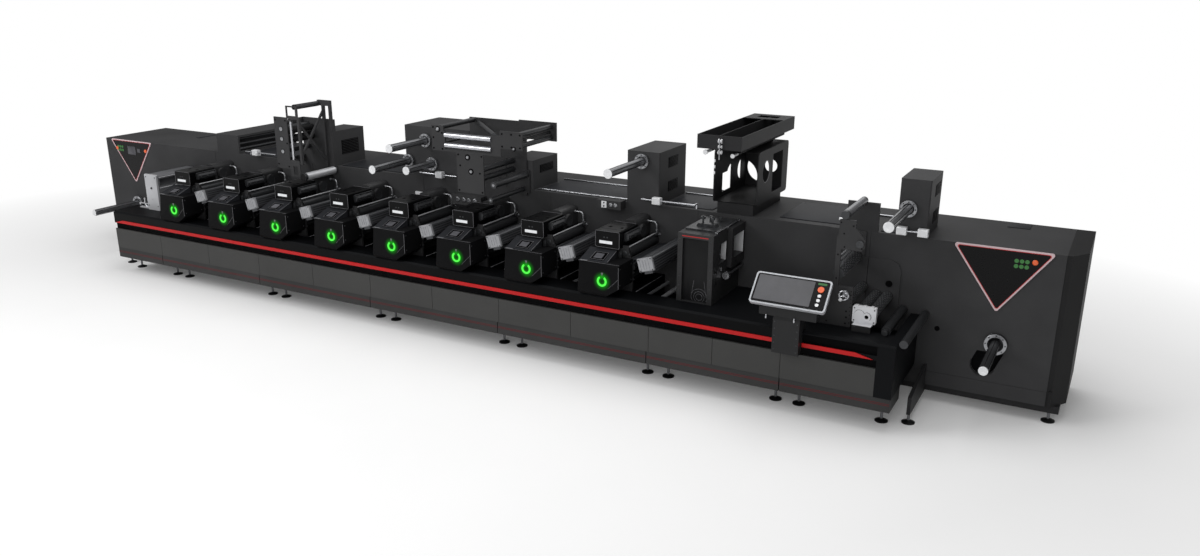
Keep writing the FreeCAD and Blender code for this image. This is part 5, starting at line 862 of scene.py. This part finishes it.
def shaft_details():
    """Key strips, end disc, flange ring and its bolts on every shaft that turns."""
    for name in SHAFTS:
        keys, end, ring, bolts = pieces(name + "_keys rubber", name + "_end bright chrome_roll",
                                        name + "_ring steel chrome_roll", name + "_bolts dark_steel steel", body=name)
        low, high = local_box(name)
        x, z = (low.x + high.x) / 2, (low.z + high.z) / 2
        reel = name in ("rewind_shaft", "unwind_shaft")
        flange = (high.x - low.x) / 2
        face = WALL_Y - (0.038 if reel else 0.032)
        tip = low.y
        start = tip + (0.020 if reel else 0.030)
        width = 0.037 if reel else 0.043
        for u, v in round_points(6, 0.0375, first=30):
            keys.rod((x + u, start, z + v), (x + u, face - 0.010, z + v), 0.0035, 6)
        end.turned((x, tip, z), FRONT, [(0, width), (0.002, width), (0.0035, width - 0.002), (0.0035, 0.010),
                                        (0.0025, 0.008)], 28)
        ring.turned((x, face, z), FRONT, [(0, flange - 0.002), (0.0015, flange - 0.004), (0.0015, flange * 0.70),
                                          (0, flange * 0.68)], 40)
        for u, v in round_points(8, flange * 0.84):
            bolts.screw((x + u, face - 0.0012, z + v), FRONT, 0.006, 0.0035)


# Die-cutting station
def die_details():
    red, belts, guard, guides, lights, screws, rails, knobs = pieces(
        "die_red_line red_light stripe_red", "die_belt_guard edge frame_grey", "die_guard_face guard painted_black",
        "die_window_frames housing_dark frame_grey", "die_inner_faces bright chrome_roll",
        "die_screws dark_steel steel", "die_side_rails chrome chrome_roll", "die_knobs rubber")
    low, high = local_box("die_station")
    right, rear = low.x + 0.335, high.x
    face = low.y + 0.019
    red.box((low.x + 0.040, low.y - 0.0012, high.z - 0.030), (right - 0.048, low.y + 0.001, high.z - 0.022), 0.0004)
    guard.box((low.x + 0.0475, face, low.z + 0.0105), (right - 0.0475, low.y + 0.021, high.z - 0.0455), 0.0002)
    # raised lines of the belt's guard on the front, cut off at the guard's edges
    cx, cz = 6.425, 0.829
    for radius in (0.075, 0.050, 0.030):
        belts.hoop((cx, face - 0.001, cz), radius, 0.0015, 5, 40,
                   keep=lambda a, b: min(a.z, b.z) >= 0.787 and max(a.x, b.x) <= right - 0.049)
    for u, w in ((-0.075, -0.053), (0.068, 0.042)):
        belts.rod((cx + u, face - 0.001, cz), (cx + w, face - 0.001, 0.978), 0.0015, 5)
    # frames of the two windows, and pale plates inside them that paint the light seen through them
    for x, y0, y1, z0, z1, push in ((right, 0.406, 0.560, 1.120, 1.295, 0.004),
                                    (rear, 0.635, 0.870, 1.125, 1.325, -0.0001)):
        guides.frame([(x, y0 - 0.010, z0 - 0.010), (x, y1 + 0.010, z0 - 0.010), (x, y1 + 0.010, z1 + 0.010),
                      (x, y0 - 0.010, z1 + 0.010)], 0.004, 0.009, (push, 0, 0))
        lights.box((right - 0.047, y1 - 0.003, z0 + 0.0005), (x - 0.0005, y1, z1 - 0.0005))
    for k in range(7):
        z = low.z + 0.060 + k * 0.085
        for x in (low.x + 0.022, right - 0.022):
            screws.screw((x, low.y, z), FRONT, 0.006, 0.003)
        screws.screw((right, low.y + 0.030, z), RIGHT, 0.006, 0.003)
        if z > 1.060:
            screws.screw((rear - 0.0005, WALL_Y - 0.020, z), RIGHT, 0.005, 0.0004)
    # rail along the upper right edge, the side bar with its stops, and knobs
    rails.rod((right - 0.012, 0.330, 1.411), (right - 0.012, 0.905, 1.411), 0.0095)
    for y in (0.350, 0.600, 0.880):
        rails.box((right - 0.024, y - 0.010, 1.400), (right, y + 0.010, 1.412), 0.002)
    rails.rod((right + 0.030, 0.512, 0.994), (right + 0.030, WALL_Y, 0.994), 0.0134)
    rails.box((right, 0.560, 0.975), (right + 0.022, 0.590, 1.013), 0.002)
    rails.box((right, 0.440, 1.045), (right + 0.010, 0.470, 1.075), 0.002)
    for x, y, z in ((right, 0.330, 1.060), (right, 0.330, 0.960), (rear - 0.010, 0.700, 1.080)):
        knobs.turned((x, y, z), RIGHT, [(0, 0.010), (0.004, 0.010), (0.008, 0.014), (0.010, 0.012)], 18)


# Hoist
def hoist_details():
    tips, links, block, screws, edges = pieces(
        "carriage_rod_tips bright steel", "hoist_chain steel steel", "hoist_pulleys bright steel",
        "hoist_screws dark_steel steel", "hoist_edges edge painted_dark")
    low, high = local_box("hoist_beam")
    housing_low, housing_high = local_box("hoist_housing")
    for x, tip, r in ((low.x + 0.305, 0.487, 0.011), (low.x + 0.025, 0.560, 0.014)):
        tips.turned((x, tip + 0.006, 2.064), FRONT, [(0, r), (0.001, r + 0.008), (0.012, r + 0.008),
                                                     (0.014, r + 0.004), (0.014, r * 0.4)])
        tips.rod((x, tip + 0.020, 2.064), (x, tip + 0.110, 2.064), r + 0.0006)
    # carriage on the front of the beam: pulleys on their brackets, and the chain over them
    cx = low.x + 0.235
    for z, r in ((2.196, 0.020), (2.148, 0.014), (2.100, 0.018)):
        block.turned((cx - 0.036, low.y - 0.014, z), RIGHT,
                     button(r, (0, 0.4), (0.003, 1), (0.008, 1), (0.012, 0.6), (0.026, 0.6), (0.030, 1), (0.035, 1),
                            (0.038, 0.4)), 20)
        block.box((cx - 0.024, low.y - 0.010, z - 0.006), (cx - 0.010, low.y + 0.001, z + 0.006), 0.002)
    for k in range(9):
        z = 2.050 + k * 0.0185
        links.box((cx - 0.022, low.y - 0.0335, z - 0.011), (cx - 0.012, low.y - 0.0265, z + 0.011), 0.003,
                  ((cx - 0.017, low.y - 0.030, z), "Z", 90 * (k % 2)))
    for x, side in ((low.x + 0.00084, -1), (high.x - 0.00084, 1)):
        for y in (0.60, 0.95, 1.30, 1.65):
            screws.screw((x, y, 2.225), (side, 0, 0), 0.005, 0.0002)
    # latches on the front edge of the housing's left side, and the rolled edge of its right opening
    for z in (1.925, 1.870, 1.815):
        block.box((housing_low.x - 0.0002, WALL_Y - 0.008, z - 0.014),
                  (housing_low.x + 0.014, WALL_Y + 0.006, z + 0.014), 0.004)
    edges.hoop((housing_high.x - 0.001, 1.120, 1.830), 0.1005, 0.003, across=BACK)


# Slitter
def slitter_details():
    wheel, knob, holes, screws, slats, sleeve, boss, bolts, stub = pieces(
        "slitter_handwheel chrome chrome_roll", "handwheel_knob white", "slitter_holes recess",
        "slitter_screws recess steel", "roller_slats steel steel", "slitter_sleeves shaft aluminium_plate",
        "slitter_boss_ring dark_steel steel", "nip_block_bolts dark_steel steel", "slitter_stub bright chrome_roll")
    front, hub = CENTRE_FRONT, 0.262
    cx, cz = 7.697, 1.052
    wheel.rod((cx, front, cz), (cx, hub - 0.010, cz), 0.010, 18)
    wheel.turned((cx, front, cz), FRONT, [(0, 0.020), (0.006, 0.020), (0.010, 0.012)])
    wheel.hoop((cx, hub, cz), 0.038, 0.0075, 10, 32)
    for u, v in round_points(3, 0.038, first=90):
        wheel.rod((cx, hub, cz), (cx + u, hub, cz + v), 0.005, 10)
    knob.turned((cx - 0.020, hub, cz - 0.032), FRONT, [(0, 0.005), (0.010, 0.006), (0.014, 0.013), (0.026, 0.015),
                                                       (0.034, 0.012), (0.038, 0.005)], 20)
    # dark discs and thin dark rings that paint the shade in holes in the plate and in the bore of the block
    for x, y, z, r, inner, segments in (
            (7.717, front, 0.908, 0.008, 0.004, 18), (7.721, front, 0.856, 0.008, 0.004, 18),
            (7.717, front, 0.803, 0.008, 0.004, 18), (7.889, 0.2996, 0.889, 0.0168, 0.006, 24),
            *((7.747, front, 0.812 + 0.034 * k, 0.0045, 0.002, 10) for k in range(9))):
        holes.turned((x, y, z), FRONT, [(0, r), (0.0006, r), (0.0006, inner)], segments)
    for x, z, r in ((7.8276, 0.899, 0.040), (7.889, 0.889, 0.034)):
        holes.hoop((x, 0.2994, z), r, 0.0022)
    for x, z in ((7.392, 1.100), (7.560, 1.100), (7.392, 0.800), (7.560, 0.800), (7.614, 1.180), (7.614, 1.380),
                 (7.620, 1.650), (7.720, 1.630), (7.650, 1.560), (7.800, 1.450), (7.660, 1.450)):
        screws.screw((x, front, z), FRONT, 0.006, 0.0035)
    # slats of the slotted rollers behind the plate
    rows = 13
    for x, z, r, y0 in ((7.625, 1.218, 0.046, 0.330), (7.700, 0.959, 0.040, 0.330), (7.8218, 0.899, 0.044, 0.355),
                        (7.9159, 0.899, 0.044, 0.355)):
        step = (0.885 - y0) / rows
        for k in range(rows):
            y, first = y0 + step * (k + 0.25), 15 * (k % 2)
            for j, (u, v) in enumerate(round_points(12, r, first)):
                px, pz = x + u, z + v
                slats.box((px - 0.0012, y, pz - 0.007), (px + 0.0012, y + step * 0.55, pz + 0.007),
                          turn=((px, y, pz), "Y", -30 * j - first))
    sleeve.rod((7.645, 0.350, 1.710), (7.645, 0.880, 1.710), 0.0344, 32)
    for z in (1.350, 1.308):
        for k in range(14):
            sleeve.turned((7.621, 0.330 + 0.040 * k, z), BACK, [(0, 0.012), (0.003, 0.0145), (0.012, 0.0145),
                                                                (0.015, 0.012)], 16)
    boss.turned((7.784, 0.290, 1.488), FRONT, [(0, 0.031), (0.002, 0.031), (0.003, 0.026), (0.003, 0.018),
                                               (0.001, 0.016), (0.001, 0.006)], 28)
    # bolts and lugs of the nip block, the end of the outlet roller, and a stub on the wall
    block_low, block_high = local_box("nip_block")
    for x in (block_low.x + 0.014, block_high.x - 0.014):
        for z in (0.846, 0.952):
            bolts.screw((x, front, z), FRONT, 0.006)
    bolts.turned((8.055, 0.2295, 0.799), BACK, [(0, 0.012), (0.0004, 0.024), (0.016, 0.026), (0.018, 0.022)])
    for x in (7.800, 7.865, 7.925):
        stub.box((x - 0.012, 0.302, 0.966), (x + 0.012, 0.340, 0.976), 0.003)
    stub.rod((7.440, 0.930, 1.520), (7.520, 0.930, 1.520), 0.014)


# Floor, light and camera
WHITE = (1, 1, 1, 1)
FLOOR_LIFT = 0.08
FLOOR_NEAR = 4.3           # from here to there the floor runs into the white backdrop
FLOOR_FAR = 7.2
WORLD_LIGHT = 0.27
LAMPS = (("key", (-3.0, -7.0, 8.0), 6.0, 600.0), ("fill", (7.5, -10.0, 4.5), 6.0, 260.0),
         ("top", (5.5, 1.0, 9.0), 9.0, 460.0), ("rear", (4.0, 9.0, 6.0), 7.0, 110.0))
LIT_PLACE = Vector((3.5, 0.9, 0.9))
CAMERA_PLACE = Vector((9.612, -7.498, 3.621))
CAMERA_YAW = 29.009
CAMERA_DOWN = 18.098
PHOTO_WIDTH = 1200
FOCAL_PIXELS = 997.107
SHIFT_PIXELS = (12.374, 12.077)
SENSOR = 36.0


def floor():
    """A pale floor that keeps the shadow and that the camera sees as white far from the press."""
    bm = bmesh.new()
    bmesh.ops.create_grid(bm, x_segments=1, y_segments=1, size=60.0)
    mesh = bpy.data.meshes.new("studio_floor")
    bm.to_mesh(mesh)
    bm.free()
    mat = bpy.data.materials.new("floor_white")
    tree = Tree(mat)
    tone = tree.ramp(tree.noise(tree.squeezed(), 0.6), (0.91, 0.91, 0.91, 1), (0.93, 0.93, 0.93, 1))
    seen = tree.seen_by("Is Glossy Ray")
    tree.shade(Base_Color=tone, Roughness=0.9, Specular_IOR_Level=0.05, Emission_Color=WHITE,
               Emission_Strength=tree.math("MULTIPLY", seen, FLOOR_LIFT))
    away = tree.add("VectorMath", {0: tree.squeezed((0.72, 1.0, 1.0))}, operation="LENGTH")
    far = tree.span(away.outputs["Value"], FLOOR_NEAR, FLOOR_FAR, 0.0, 1.0)
    white = tree.add("Emission", {"Strength": 1.0})
    blend = tree.add("MixShader", {"Fac": tree.math("MULTIPLY", far, seen), 1: tree.shader.outputs[0],
                                   2: white.outputs[0]})
    tree.put(tree.nodes["Material Output"].inputs["Surface"], blend.outputs[0])
    mesh.materials.append(mat)
    added("studio_floor", mesh)


def light():
    """A dim white world behind a white backdrop, and four soft lamps."""
    world = bpy.data.worlds.new("studio")
    bpy.context.scene.world = world
    tree = Tree(world)
    tree.nodes.clear()
    ambient = tree.add("Background", {"Color": WHITE, "Strength": WORLD_LIGHT})
    backdrop = tree.add("Background", {"Color": WHITE, "Strength": 1.0})
    mix = tree.add("MixShader", {"Fac": tree.seen_by("Is Transmission Ray"), 1: ambient.outputs[0],
                                 2: backdrop.outputs[0]})
    tree.add("OutputWorld", {"Surface": mix.outputs[0]})
    for name, place, size, power in LAMPS:
        lamp = bpy.data.lights.new(name, "AREA")
        lamp.energy, lamp.size = power, size
        holder = added(name, lamp)
        holder.location = ORIGIN + Vector(place)
        holder.rotation_euler = (LIT_PLACE - Vector(place)).to_track_quat("-Z", "Y").to_euler()


def camera():
    lens = bpy.data.cameras.new("photo_camera")
    lens.sensor_fit = "HORIZONTAL"
    lens.sensor_width = SENSOR
    lens.lens = SENSOR * FOCAL_PIXELS / PHOTO_WIDTH
    lens.shift_x, lens.shift_y = (shift / PHOTO_WIDTH for shift in SHIFT_PIXELS)
    lens.clip_end = 200.0
    holder = added("photo_camera", lens)
    holder.location = ORIGIN + CAMERA_PLACE
    holder.rotation_euler = (math.pi / 2 - math.radians(CAMERA_DOWN), 0, math.radians(CAMERA_YAW))
    bpy.context.scene.camera = holder


for build in (unit_details, cassette_details, station_details, bed_details, box_details, fascia_details,
              tower_details, end_panel_details, rewinder_details, console_details, shaft_details, die_details,
              hoist_details, slitter_details):
    build()
for piece in PIECES:
    piece.done()
floor()
light()
camera()

bpy.context.scene.view_settings.view_transform = "Standard"
